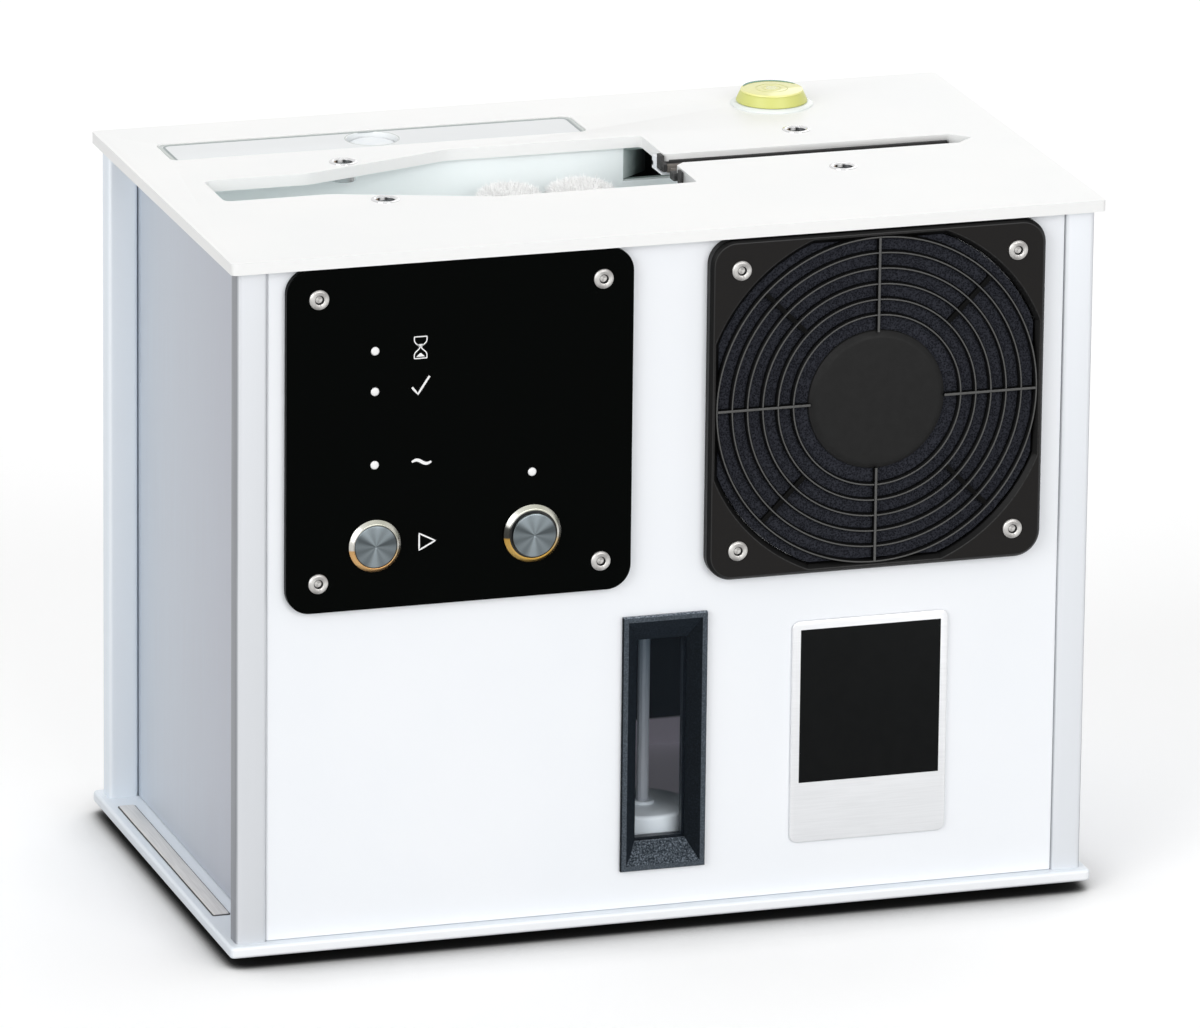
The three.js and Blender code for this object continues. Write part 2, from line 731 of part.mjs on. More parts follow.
const leftPairX = rollerX;
const rollerPlaces = {
  front_left: [leftPairX, -rollerSpreadY],
  rear_left: [leftPairX, rollerSpreadY],
  front_right: [rollerRightX, -rollerSpreadY],
  rear_right: [rollerRightX, rollerSpreadY],
};

// The bath's plan: wide at the left for the rollers, narrow at the right.
function bathPlan(grow, endX) {
  const [wide, narrow] = [bathWideHalf + grow, bathNarrowHalf + grow];
  const corners = [
    [-endX, -wide, bathCornerRadius],
    [bathStepX + grow, -wide, bathCornerRadius],
    [bathStepX + grow, -narrow, 0],
    [endX, -narrow, 0],
    [endX, narrow, 0],
    [bathStepX + grow, narrow, 0],
    [bathStepX + grow, wide, bathCornerRadius],
    [-endX, wide, bathCornerRadius],
  ];
  return outline(corners.map(([x, y, radius]) => [x, slotY + y, radius]));
}

// A disc about the record's centre that rounds the underside of whatever it meets.
function recordDisc(radius) {
  const [front, back] = [-plateDepth / 2, plateDepth / 2];
  return lengthways(recordCentreX, recordCentreZ, radius, front, back, 2 * bigSides);
}

function trough() {
  const [x0, x1] = [lidX0 + troughInset, lidX1 - troughInset];
  const [y0, y1] = [lidFrontY + troughInset, lidBackY - troughInset];
  const left = -bathOuterX;
  const [front, back] = [y0 - bathWall, y1 + bathWall];
  const body = block(left, x1 + bathWall, front, back, troughFloor - bathWall, bathRim);
  const hollow = block(x0, x1, y0, y1, troughFloor, bathRim + overrun);
  const bathBack = slotY + bathWideHalf;
  const [from, to] = [overflowX - overflowWidth / 2, overflowX + overflowWidth / 2];
  const [low, high] = [overflowZ, overflowZ + overflowHeight];
  const link = block(from - bathWall, to + bathWall, bathBack + bathWall / 2, y0, low - bathWall, high + bathWall);
  const passage = block(from, to, bathBack - overrun, y0 + overrun, low, high);
  return { body, hollow, link, passage };
}

function bath() {
  const outer = common(raised(bathPlan(bathWall, bathOuterX), shaftBossBottom, bathRim), recordDisc(bathRadius + bathWall));
  const hollow = common(raised(bathPlan(0, bathOuterX - bathEndWall), shaftBossBottom, topFace), recordDisc(bathRadius));
  const places = Object.values(rollerPlaces);
  const bossTop = recordCentreZ - bathRadius + overrun + bathWall;
  const bosses = places.map(([x, y]) => upright(x, slotY + y, shaftBossRadius, shaftBossBottom, bossTop));
  const nippleTop = recordCentreZ - bathRadius * Math.cos(Math.asin((recordCentreX - nippleX) / bathRadius));
  const nipple = upright(nippleX, slotY + nippleY, nippleRadius, nippleBottom, nippleTop);
  const filter = trough();
  const shell = cut(join(outer, ...bosses, nipple, filter.body, filter.link), hollow, filter.hollow, filter.passage);

  const shaftHole = rollerShaftRadius + runningGap;
  const holeTop = rollerBottom;
  const shafts = places.map(([x, y]) => upright(x, slotY + y, shaftHole, shaftBossBottom - overrun, holeTop));
  const port = upright(nippleX, slotY + nippleY, nippleBoreRadius, nippleBottom - overrun, nippleTop + bathWall);
  const wideOuter = bathWideHalf + bathWall + overrun;
  const [portFront, portBack] = [slotY - wideOuter, slotY + wideOuter];
  const air = block(airPortX0, airPortX1, portFront, portBack, bathRim - airPortDepth, bathRim + overrun);
  const axleBack = slotY + bathNarrowHalf + bathWall + overrun;
  const axle = lengthways(driveX, wheelZ, axleRadius + runningGap, slotY + bathNarrowHalf - overrun, axleBack);
  const open = cut(shell, ...shafts, port, air, axle);

  const wallInside = slotY + bathWideHalf;
  const postFront = slotY + wheelHalfWidth + seam;
  const post = lengthways(idlerX, wheelZ, idlerPostRadius, postFront, wallInside + bathWall / 2);
  const pin = lengthways(idlerX, wheelZ, axleRadius, slotY - wheelHalfWidth, postFront + overrun);
  return join(open, post, pin);
}

function addBath() {
  add("wash_bath", bath(), whitePlastic);
  const inset = troughInset + spongeClearance;
  const [y0, y1] = [lidFrontY + inset, lidBackY - inset];
  const sponge = block(lidX0 + inset, lidX1 - inset, y0, y1, troughFloor + seam, spongeTop);
  add("filter_sponge", sponge, whitePile);
}

// Roller drive

// A spur gear's outline; each tooth is a trapezium on the pitch circle, the first centred on phase.
function gearShape(teeth, phase) {
  const pitch = pitchRadius(teeth);
  const root = pitch - dedendumShare * gearModule;
  const tip = pitch + addendumShare * gearModule;
  const halfTooth = (Math.PI * gearModule) / 4 - toothSlack / 2;
  const slope = Math.tan(THREE.MathUtils.degToRad(flankDegrees));
  const rootHalf = (halfTooth + (pitch - root) * slope) / root;
  const tipHalf = (halfTooth - (tip - pitch) * slope) / tip;
  const points = [];
  for (let tooth = 0; tooth < teeth; tooth += 1) {
    const middle = phase + (2 * Math.PI * tooth) / teeth;
    const steps = [[-rootHalf, root], [-tipHalf, tip], [tipHalf, tip], [rootHalf, root]];
    steps.forEach(([turn, radius]) => {
      points.push(new THREE.Vector2(Math.cos(middle + turn), Math.sin(middle + turn)).multiplyScalar(radius));
    });
  }
  return new THREE.Shape(points);
}

// The phase of a gear that meshes with a driver: a tooth of one stands in a gap of the other.
function meshedPhase(driverTeeth, driverPhase, direction, teeth) {
  const circularPitch = Math.PI * gearModule;
  const offset = pitchRadius(driverTeeth) * (driverPhase - direction) + circularPitch / 2;
  return direction + Math.PI - offset / pitchRadius(teeth);
}

const pinionPhase = 0;

function rollerPhase(place) {
  const [side, end] = place.split("_");
  const across = side === "front" ? -rollerSpreadY : rollerSpreadY;
  const toLeft = Math.atan2(across, leftPairX - pinionX);
  const leftPhase = meshedPhase(pinionTeeth, pinionPhase, toLeft, rollerTeeth);
  return end === "left" ? leftPhase : meshedPhase(rollerTeeth, leftPhase, 0, rollerTeeth);
}

function roller(place) {
  const shaftBottom = gearPlateBottom + seam;
  const profile = [
    [0, shaftBottom],
    [rollerShaftRadius, shaftBottom],
    [rollerShaftRadius, rollerBottom],
    [rollerRadius, rollerBottom],
    [rollerRadius, rollerTop - rollerCrown],
    [rollerRadius - rollerCrown, rollerTop],
    [0, rollerTop],
  ];
  const gear = raised(gearShape(rollerTeeth, rollerPhase(place)), gearBottom, gearBottom + gearWidth);
  return join(turned(profile), gear);
}

function gearPlate() {
  const [front, back] = [slotY - gearPlateHalf, slotY + gearPlateHalf];
  const plate = block(gearPlateLeft, gearPlateRight, front, back, gearPlateBottom, trayTop);
  const [left, right] = [gearPlateLeft + standoffInset, gearPlateRight - standoffInset];
  const corners = [left, right].flatMap((x) => [front + standoffInset, back - standoffInset].map((y) => [x, y]));
  const standoffTop = recordCentreZ - bathRadius / 2;
  const standoffs = corners.map(([x, y]) => upright(x, y, standoffRadius, trayTop - seam, standoffTop));
  const whole = join(plate, ...standoffs);
  const places = Object.values(rollerPlaces);
  const [low, high] = [gearPlateBottom - overrun, trayTop + overrun];
  const bearings = places.map(([x, y]) => upright(x, slotY + y, rollerShaftRadius + runningGap, low, high));
  const pinionHole = upright(pinionX, slotY, pinionShaftRadius + runningGap, low, high);
  return cut(whole, recordDisc(bathRadius + bathWall + seam), ...bearings, pinionHole);
}

function addRollerDrive() {
  for (const [place, [x, y]] of Object.entries(rollerPlaces)) {
    add(`${place}_roller`, roller(place), whitePile).position.set(x, slotY + y, 0);
  }
  add("gear_plate", gearPlate(), satinAluminium);
  const motorTop = gearPlateBottom - seam;
  const body = upright(pinionX, slotY, motorRadius, motorTop - motorHeight, motorTop, midSides);
  const boreRadius = pinionShaftRadius + runningGap;
  const bore = upright(pinionX, slotY, boreRadius, motorTop - motorBoreDepth, motorTop + overrun);
  add("roller_motor", cut(body, bore), brushedSteel);
  const shaft = upright(0, 0, pinionShaftRadius, motorTop - motorBoreDepth + seam, gearBottom + gearWidth);
  const gear = raised(gearShape(pinionTeeth, pinionPhase), gearBottom, gearBottom + gearWidth);
  add("drive_pinion", join(shaft, gear), brass).position.set(pinionX, slotY, 0);
}

// Wheels under the record's edge

function wheelProfile(bore) {
  const rim = wheelRadius - wheelGroove;
  return [
    [bore, -wheelHalfWidth + seam],
    [wheelRadius, -wheelHalfWidth + seam],
    [rim, 0],
    [wheelRadius, wheelHalfWidth - seam],
    [bore, wheelHalfWidth - seam],
  ];
}

function addRecordDrive() {
  const motorFront = slotY + bathNarrowHalf + bathWall + seam;
  const axleBack = motorFront - slotY + driveMotorBore - seam;
  const axle = lengthways(0, 0, axleRadius, -axleFrontReach, axleBack);
  const wheel = add("record_drive_wheel", join(turnedBack(wheelProfile(0)), axle), blackRubber);
  wheel.position.set(driveX, slotY, wheelZ);
  const bore = axleRadius + runningGap;
  const ring = [...wheelProfile(bore), wheelProfile(bore)[0]];
  add("record_idler_wheel", turnedBack(ring), blackRubber).position.set(idlerX, slotY, wheelZ);
  const motorBack = motorFront + driveMotorLength;
  const body = lengthways(driveX, wheelZ, driveMotorRadius, motorFront, motorBack, midSides);
  const hole = lengthways(driveX, wheelZ, bore, motorFront - overrun, motorFront + driveMotorBore);
  add("record_drive_motor", cut(body, hole), brushedSteel);
}

// Control panel

// A button's housing about its own axis: a flange on the plate and a blind barrel behind it.
function buttonHousing(flangeRadius, capRadius) {
  const [bore, barrel] = [capRadius + capGap, barrelRadius(capRadius)];
  const profile = [
    [0, capRecessDepth],
    [bore, capRecessDepth],
    [bore, -flangeHeight],
    [flangeRadius - flangeRound, -flangeHeight],
    [flangeRadius, flangeRound - flangeHeight],
    [flangeRadius, 0],
    [barrel, 0],
    [barrel, barrelLength],
    [0, barrelLength],
  ];
  return turnedBack(profile);
}

function buttonCap(capRadius, rise) {
  const front = -flangeHeight - rise;
  const profile = [
    [0, front],
    [capRadius - flangeRound, front],
    [capRadius, front + flangeRound],
    [capRadius, front + capThickness + rise],
    [0, front + capThickness + rise],
  ];
  return turnedBack(profile);
}

function addControls() {
  const back = -panelOuterY - seam;
  const face = back - controlThickness;
  const plateShape = rectangle(controlX0, controlX1, controlZ0, controlZ1, controlCornerRadius);
  const plate = facing(plateShape, face, back, smallSides);
  add("control_plate", cut(plate, ...controlHoles(face - overrun, back + overrun)), glossBlack);
  const buttons = [
    ["start_button", startButtonX, startFlangeRadius, startCapRadius, 0],
    ["power_button", powerButtonX, powerFlangeRadius, powerCapRadius, powerCapRise],
  ];
  for (const [name, x, flangeRadius, capRadius, rise] of buttons) {
    const button = new THREE.Group();
    button.position.set(x, face - seam, buttonZ);
    group.add(button);
    add(`${name}_housing`, buttonHousing(flangeRadius, capRadius), chrome, button);
    add(`${name}_cap`, buttonCap(capRadius, rise), brushedSteel, button);
  }
  add("control_board", controlBoard(face), circuitGreen);
}

// A circuit board behind the front panel; its lamps reach through to the control plate's face.
function controlBoard(face) {
  const boardBack = boardY + boardThickness;
  const board = block(boardX0, boardX1, boardY, boardBack, boardBottom, boardTop);
  const lamps = lampPlaces.map(([x, z]) => lengthways(x, z, lampRadius, face, boardBack));
  const [postXs, postZs] = [
    [boardX0 + boardPostInset, boardX1 - boardPostInset],
    [boardBottom + boardPostInset, boardTop - boardPostInset],
  ];
  const postPlaces = postXs.flatMap((x) => postZs.map((z) => [x, z]));
  const posts = postPlaces.map(([x, z]) => lengthways(x, z, boardPostRadius, -panelInnerY + seam, boardBack));
  const pitch = (boardX1 - boardX0) / boardPartCount;
  const parts = Array.from({ length: boardPartCount }, (_, index) => {
    const middle = boardX0 + pitch * (index + 1 / 2);
    const [left, right] = [middle - boardPartWidth / 2, middle + boardPartWidth / 2];
    return block(left, right, boardBack - seam, boardBack + boardPartDepth, boardBottom + boardPostInset,
      boardBottom + boardPostInset + boardPartHeight);
  });
  return join(board, ...lamps, ...posts, ...parts);
}

// Fans: the fan's axis is the local Z axis, which runs from the panel into the cabinet

function guardOpening(grow) {
  const half = guardOpeningHalf + grow;
  const disc = upright(0, 0, guardOpeningRadius + grow, -guardDepth - overrun, fanDepth, bigSides);
  return common(disc, block(-half, half, -half, half, -guardDepth - overrun, fanDepth));
}

// A square frame round a grille of rings and spokes, lying in front of the panel at negative Z.
function guard() {
  const half = guardSize / 2;
  const frame = raised(rectangle(-half, half, -half, half, guardCornerRadius), -guardDepth, 0, smallSides);
  const opening = guardOpening(0);
  const [front, back] = [-guardDepth, -guardDepth + guardBarDepth];
  const bars = [upright(0, 0, guardHubRadius, front, back, bigSides)];
  for (let ring = 0; ring < guardRingCount; ring += 1) {
    const radius = guardRingFirst + ring * guardRingPitch;
    const [inner, outer] = [radius - guardRingWidth / 2, radius + guardRingWidth / 2];
    const profile = [[inner, front], [outer, front], [outer, back], [inner, back], [inner, front]];
    bars.push(turned(profile, ringSides));
  }
  const spokeHalf = guardSpokeWidth / 2;
  for (let quarter = 0; quarter < 4; quarter += 1) {
    const angle = (quarter * Math.PI) / 2;
    const reach = guardOpeningHalf + overrun;
    const spoke = block(guardHubRadius - overrun, reach, -spokeHalf, spokeHalf, front, back);
    const diagonal = block(diagonalSpokeInner, guardRingLast, -spokeHalf, spokeHalf, front, back);
    bars.push(spoke.rotateZ(angle), diagonal.rotateZ(angle + Math.PI / 4));
  }
  const grille = common(join(...bars), guardOpening(seam));
  return join(cut(frame, opening), grille);
}

function fanFrame() {
  const half = fanSize / 2;
  const shape = rectangle(-half, half, -half, half, fanCornerRadius);
  shape.holes.push(circle(0, 0, fanBoreRadius, THREE.Path));
  const frame = raised(shape, 0, fanDepth, smallSides);
  const inner = fanDepth - fanHubThickness;
  const hub = upright(0, 0, fanHubRadius, inner, fanDepth, midSides);
  const spindle = upright(0, 0, spindleRadius, inner - spindleLength, fanDepth);
  const strutHalf = fanStrutWidth / 2;
  const reach = fanBoreRadius + fanStrutWidth / 2;
  const struts = [block(-reach, reach, -strutHalf, strutHalf, inner, fanDepth)];
  struts.push(block(-strutHalf, strutHalf, -reach, reach, inner, fanDepth));
  return join(frame, hub, spindle, ...struts);
}

function fanRotor() {
  const back = fanDepth - fanHubThickness - seam;
  const front = back - rotorHubDepth;
  const bore = spindleRadius + runningGap;
  const hub = cut(upright(0, 0, rotorHubRadius, front, back, midSides), upright(0, 0, bore, front + overrun, fanDepth));
  const middle = (front + back) / 2;
  const blades = Array.from({ length: bladeCount }, (_, index) => {
    const [root, tip] = [rotorHubRadius - bladeRoot, rotorRadius];
    const blade = block(root, tip, -bladeDepth / 2, bladeDepth / 2, -bladeThickness / 2, bladeThickness / 2);
    blade.rotateX(THREE.MathUtils.degToRad(bladePitch)).translate(0, 0, middle);
    return blade.rotateZ((2 * Math.PI * index) / bladeCount);
  });
  return join(hub, ...blades);
}

function fanUnit(end, sign) {
  const unit = new THREE.Group();
  unit.position.set(fanCentreX, sign * panelInnerY, fanCentreZ);
  unit.rotation.set(-Math.PI / 2, 0, sign > 0 ? Math.PI : 0, "ZXY");
  group.add(unit);
  add(`${end}_fan_guard`, guard(), satinBlack, unit).position.z = -panelThickness - seam;
  add(`${end}_fan_frame`, fanFrame(), satinBlack, unit).position.z = seam;
  add(`${end}_fan_rotor`, fanRotor(), satinBlack, unit).position.z = seam;
  return unit;
}

// A box from the fan to the bath's air port, open on both.
function duct(sign, bathFace) {
  const half = fanSize / 2;
  const [x0, x1] = [fanCentreX - half, fanCentreX + half];
  const z0 = fanCentreZ - half;
  const fanFace = sign * (panelInnerY - fanDepth - 2 * seam);
  const [y0, y1] = [fanFace, bathFace].sort((a, b) => a - b);
  const shell = block(x0, x1, y0, y1, z0, bathRim);
  const hollowY = [fanFace + sign * overrun, bathFace + sign * ductWall].sort((a, b) => a - b);
  const hollow = block(x0 + ductWall, x1 - ductWall, ...hollowY, z0 + ductWall, bathRim - ductWall);
  const portY = [bathFace - sign * overrun, bathFace + sign * (ductWall + overrun)].sort((a, b) => a - b);
  const port = block(airPortX0, airPortX1, ...portY, bathRim - airPortDepth, bathRim - ductWall);
  return cut(shell, hollow, port);
}

function addFans() {
  const front = fanUnit("front", -1);
  const foam = common(guardOpening(-seam), block(-guardSize, guardSize, -guardSize, guardSize, 0, foamThickness));
  const foamBack = -panelThickness - seam;
  add("front_fan_foam", foam, blackFoam, front).position.z = foamBack - foamThickness;
  fanUnit("rear", 1);
  const bathSide = bathWideHalf + bathWall + seam;
  add("front_air_duct", duct(-1, slotY - bathSide), satinBlack);
  add("rear_air_duct", duct(1, slotY + bathSide), satinBlack);
}

// Level window, reservoir and float

function rectangleRing(halfX, halfZ, Kind = THREE.Shape) {
  const [x0, x1] = [windowCentreX - halfX, windowCentreX + halfX];
  const [z0, z1] = [windowCentreZ - halfZ, windowCentreZ + halfZ];
  return rectangle(x0, x1, z0, z1, 0, Kind);
}

// A four-sided funnel between a front and a back rectangle, as a closed hull of eight corners.
function funnel(frontHalfX, frontHalfZ, frontY, backHalfX, backHalfZ, backY) {
  const box = new THREE.BoxGeometry(2, 2, 2);
  const position = box.attributes.position;
  for (let index = 0; index < position.count; index += 1) {
    const atBack = position.getY(index) > 0;
    const halfX = atBack ? backHalfX : frontHalfX;
    const halfZ = atBack ? backHalfZ : frontHalfZ;
    const x = windowCentreX + position.getX(index) * halfX;
    const z = windowCentreZ + position.getZ(index) * halfZ;
    position.setXYZ(index, x, atBack ? backY : frontY, z);
  }
  return box;
}

function bezel() {
  const face = -panelOuterY - bezelProud;
  const back = -panelInnerY;
  const flange = facing(rectangleRing(bezelWidth / 2, bezelHeight / 2), face, -panelOuterY - seam);
  const [neckX, neckZ] = [windowHoleHalfX - holeClearance, windowHoleHalfZ - holeClearance];
  const neck = facing(rectangleRing(neckX, neckZ), -panelOuterY - bezelProud / 2, back);
  const [mouthX, mouthZ] = [bezelWidth / 2 - bezelRim, bezelHeight / 2 - bezelRim];
  const [throatX, throatZ] = [windowWidth / 2, windowHeight / 2];
  const slope = funnel(mouthX, mouthZ, face, throatX, throatZ, face + funnelDepth);
  const throat = facing(rectangleRing(throatX, throatZ), face + funnelDepth / 2, back + overrun);
  const clearFront = facing(rectangleRing(mouthX, mouthZ), face - overrun, face);
  return cut(join(flange, neck), join(slope, throat, clearFront));
}

function reservoir() {
  const [left, right] = [tankLeft, bathOuterX];
  const floorTop = panelBottom + tankWall;
  const box = block(left, right, tankFrontY, tankBackY, panelBottom, tankTop);
  const [front, back] = [tankFrontY + tankWall, tankBackY - tankWall];
  const hollow = block(left + tankWall, right - tankWall, front, back, floorTop, tankTop + overrun);
  const sight = facing(rectangleRing(windowWidth / 2, windowHeight / 2), tankFrontY - overrun, front + overrun);
  const drain = lengthways(drainX, drainZ, drainBoreRadius, back - overrun, tankBackY + overrun, midSides);
  const foot = upright(stemX, stemY, stemFootRadius, floorTop - seam, floorTop + stemFootHeight, midSides);
  const stem = upright(stemX, stemY, stemRadius, floorTop, tankTop - stemTopClearance);
  return join(cut(box, hollow, sight, drain), foot, stem);
}

function addWaterSystem() {
  add("window_bezel", bezel(), slatePlastic);
  const [paneX, paneZ] = [windowWidth / 2 + paneBorder, windowHeight / 2 + paneBorder];
  const paneFront = -panelInnerY + seam;
  add("window_pane", facing(rectangleRing(paneX, paneZ), paneFront, paneFront + paneThickness), clearPlastic);
  add("reservoir", reservoir(), slatePlastic);
  const bore = stemRadius + runningGap;
  const floatProfile = [
    [bore, 0],
    [floatRadius, 0],
    [floatRadius, floatThickness],
    [floatFlangeRadius, floatThickness],
    [floatFlangeRadius, floatThickness + floatFlangeHeight],
    [bore, floatThickness + floatFlangeHeight],
    [bore, 0],
  ];
  const floatBottom = panelBottom + tankWall + stemFootHeight + seam;
  add("level_float", turned(floatProfile), floatWhite).position.set(stemX, stemY, floatBottom);
  addPump();
}

function addPump() {
  const bodyTop = panelBottom + pumpHeight;
  const headTop = bodyTop + pumpHeadHeight;
  const profile = [
    [0, panelBottom],
    [pumpRadius, panelBottom],
    [pumpRadius, bodyTop],
    [pumpHeadRadius, bodyTop],
    [pumpHeadRadius, headTop],
    [spoutRadius, headTop],
    [spoutRadius, headTop + spoutHeight],
    [0, headTop + spoutHeight],
  ];
  add("pump", turned(profile), satinBlack).position.set(pumpX, pumpY, 0);
  const hoseBottom = headTop + spoutHeight + seam;
  const hoseTop = nippleBottom - seam;
  const rise = (hoseTop - hoseBottom) / 4;
  const endY = slotY + nippleY;
  const route = new THREE.CubicBezierCurve3(
    new THREE.Vector3(pumpX, pumpY, hoseBottom),
    new THREE.Vector3(pumpX, pumpY, hoseBottom + 2 * rise),
    new THREE.Vector3(nippleX, endY, hoseTop - 2 * rise),
    new THREE.Vector3(nippleX, endY, hoseTop),
  );
  const outer = nippleRadius + hoseWall;
  const section = new THREE.Shape(
    Array.from({ length: hoseSides }, (_, side) => {
      const angle = (2 * Math.PI * side) / hoseSides;
      return new THREE.Vector2(outer * Math.cos(angle), outer * Math.sin(angle));
    }),
  );
  const hose = new THREE.ExtrudeGeometry(section, { steps: hoseRings, extrudePath: route, bevelEnabled: false });
  add("fill_hose", hose, blackRubber);
}

function addTransducer() {
  const face = slotY - bathWideHalf - bathWall - seam;
  const boardBack = boardY + boardThickness + boardPartDepth;
  const length = face - boardBack - stackBoardGap;
  const profile = [
    [0, 0],
    [hornRadius, 0],
    [hornNeckRadius, hornLength],
    [stackRadius, hornLength],
    [stackRadius, length],
    [0, length],
  ];
  const horn = turnedBack(profile).rotateZ(Math.PI);
  add("ultrasonic_transducer", horn, brushedSteel).position.set(transducerX, face, topUnder - transducerDrop);
}

// Trim and rear fittings

function addTrim() {
  const back = -panelOuterY - seam;
  const middle = fanCentreX + badgeOffsetX;
  const [x0, x1] = [middle - badgeWidth / 2, middle + badgeWidth / 2];
  const [z0, z1] = [baseTop + badgeFloorGap, fanCentreZ - guardSize / 2 - badgeGuardGap];
  const badge = facing(rectangle(x0, x1, z0, z1, badgeCornerRadius), back - badgeThickness, back);
  add("badge_plate", badge, brushedSteel);
}

function addRearFittings() {
  const face = panelOuterY + seam;
  const inletFront = panelInnerY - inletDepth;
  const flange = lengthways(inletX, inletZ, inletFlangeRadius, face, face + inletFlangeHeight);
  const barrel = lengthways(inletX, inletZ, inletBarrelRadius, inletFront, face + seam);
  const outside = face + inletFlangeHeight;
  const socket = lengthways(inletX, inletZ, inletBoreRadius, outside - inletDepth, outside + overrun);
  const pin = lengthways(inletX, inletZ, inletPinRadius, outside - inletDepth - seam, outside - overrun);
  add("power_inlet", join(cut(join(flange, barrel), socket), pin), satinBlack);

  const tankFace = tankBackY + seam;
  const drainEnd = panelOuterY + drainProud;
  const tube = lengthways(drainX, drainZ, drainRadius, tankFace, drainEnd, midSides);
  const hex = lengthways(drainX, drainZ, drainHexRadius, face, face + drainHexDepth, 6);
  const bore = lengthways(drainX, drainZ, drainBoreRadius, tankFace - overrun, drainEnd + overrun);
  add("drain_coupling", cut(join(tube, hex), bore), brass);
}

addCabinet();
addTopFittings();
addBath();
addRollerDrive();
addRecordDrive();
addControls();
addFans();
addWaterSystem();
addTransducer();
addTrim();
addRearFittings();

export default group;
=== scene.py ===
"""Looks of a bench-top record cleaning machine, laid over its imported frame. Sizes are in millimetres."""

import math

import bmesh
import bpy
import numpy as np
from mathutils import Matrix


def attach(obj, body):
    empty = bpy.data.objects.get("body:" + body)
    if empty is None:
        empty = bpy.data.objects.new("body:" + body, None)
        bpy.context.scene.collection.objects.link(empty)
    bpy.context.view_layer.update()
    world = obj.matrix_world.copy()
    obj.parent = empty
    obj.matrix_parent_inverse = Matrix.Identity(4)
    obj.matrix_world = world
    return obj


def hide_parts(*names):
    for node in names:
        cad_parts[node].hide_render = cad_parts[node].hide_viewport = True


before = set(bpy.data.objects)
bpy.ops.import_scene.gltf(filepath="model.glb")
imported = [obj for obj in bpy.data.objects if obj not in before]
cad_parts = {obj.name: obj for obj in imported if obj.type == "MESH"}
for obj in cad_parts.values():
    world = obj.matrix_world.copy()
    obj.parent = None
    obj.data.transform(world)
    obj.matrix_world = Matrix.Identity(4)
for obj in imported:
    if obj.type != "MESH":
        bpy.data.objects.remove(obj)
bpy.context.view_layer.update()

MM = 0.001
X, Y, Z = np.eye(3)
FULL_TURN = 2 * math.pi

# Faces and axes that the pieces stand on, as in the machine's drawing
TOP_FACE = 263.0
TOP_UNDER = 258.75
BASE_TOP = 8.25
SLOT_Y = 1.5
CONTROL_FACE = -93.5
GUARD_FRONT = 95.75
GUARD_BACK = 90.75
FAN_X, FAN_Z = 77.5, 194.76
STEM_X, STEM_Y = 1.0, -62.5
BUSH_X, BUSH_Y = 87.0, 27.0
POST_X, POST_Y = 155.23, 87.0
FOOT_X, FOOT_Y = 143.97, 75.0
BUTTON_Z, START_X, POWER_X = 154.82, -110.68, -51.89
LAMPS = [(START_X, 226.8), (START_X, 211.8), (START_X, 184.6), (-51.9, 177.5)]
UPRIGHT, FLAT = (X, Z, Y), (X, Y, Z)
CORNERS = [(end + side, sign_x, sign_y) for end, sign_y in (("front_", -1), ("rear_", 1))
           for side, sign_x in (("left", -1), ("right", 1))]


# Shapes worked out on grids


def quads(rows, columns, wrap_rows=False, wrap_columns=True):
    """Corner numbers of a grid's quads: each point and its neighbours in the next row and column."""
    row = np.arange(rows if wrap_rows else rows - 1)
    column = np.arange(columns if wrap_columns else columns - 1)
    row, column = np.meshgrid(row, column, indexing="ij")
    next_row, next_column = (row + 1) % rows, (column + 1) % columns
    corners = [row * columns + column, row * columns + next_column]
    corners += [next_row * columns + next_column, next_row * columns + column]
    return np.stack(corners, -1).reshape(-1, 4).tolist()


def capped(rows, columns):
    """The quads of a tube of rows by columns, with one face at each end."""
    return quads(rows, columns) + [list(range(columns)), list(range((rows - 1) * columns, rows * columns))]


def placed(name, data):
    """An object with this data, linked to the scene."""
    made = bpy.data.objects.new(name, data)
    bpy.context.scene.collection.objects.link(made)
    return made


def coat(mesh, material):
    """Gives the mesh this one material."""
    mesh.materials.clear()
    mesh.materials.append(material)


def shaded(name, work, mesh, material, smooth):
    """The worked mesh as an object: edges under smooth degrees soft, and one material."""
    work.to_mesh(mesh)
    work.free()
    mesh.shade_smooth()
    mesh.set_sharp_from_angle(angle=math.radians(smooth))
    coat(mesh, material)
    return placed(name, mesh)


def piece(name, points, faces, material, body="cabinet", replaces=(), smooth=40):
    """A mesh piece from points in millimetres, with doubles merged, that rides on its body."""
    mesh = bpy.data.meshes.new(name)
    mesh.from_pydata((np.reshape(points, (-1, 3)) * MM).tolist(), [], faces)
    work = bmesh.new()
    work.from_mesh(mesh)
    bmesh.ops.remove_doubles(work, verts=work.verts, dist=1e-6)
    bmesh.ops.dissolve_degenerate(work, edges=work.edges, dist=1e-7)
    bmesh.ops.recalc_face_normals(work, faces=work.faces)
    made = shaded(name, work, mesh, material, smooth)
    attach(made, body)
    if replaces:
        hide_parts(*replaces)


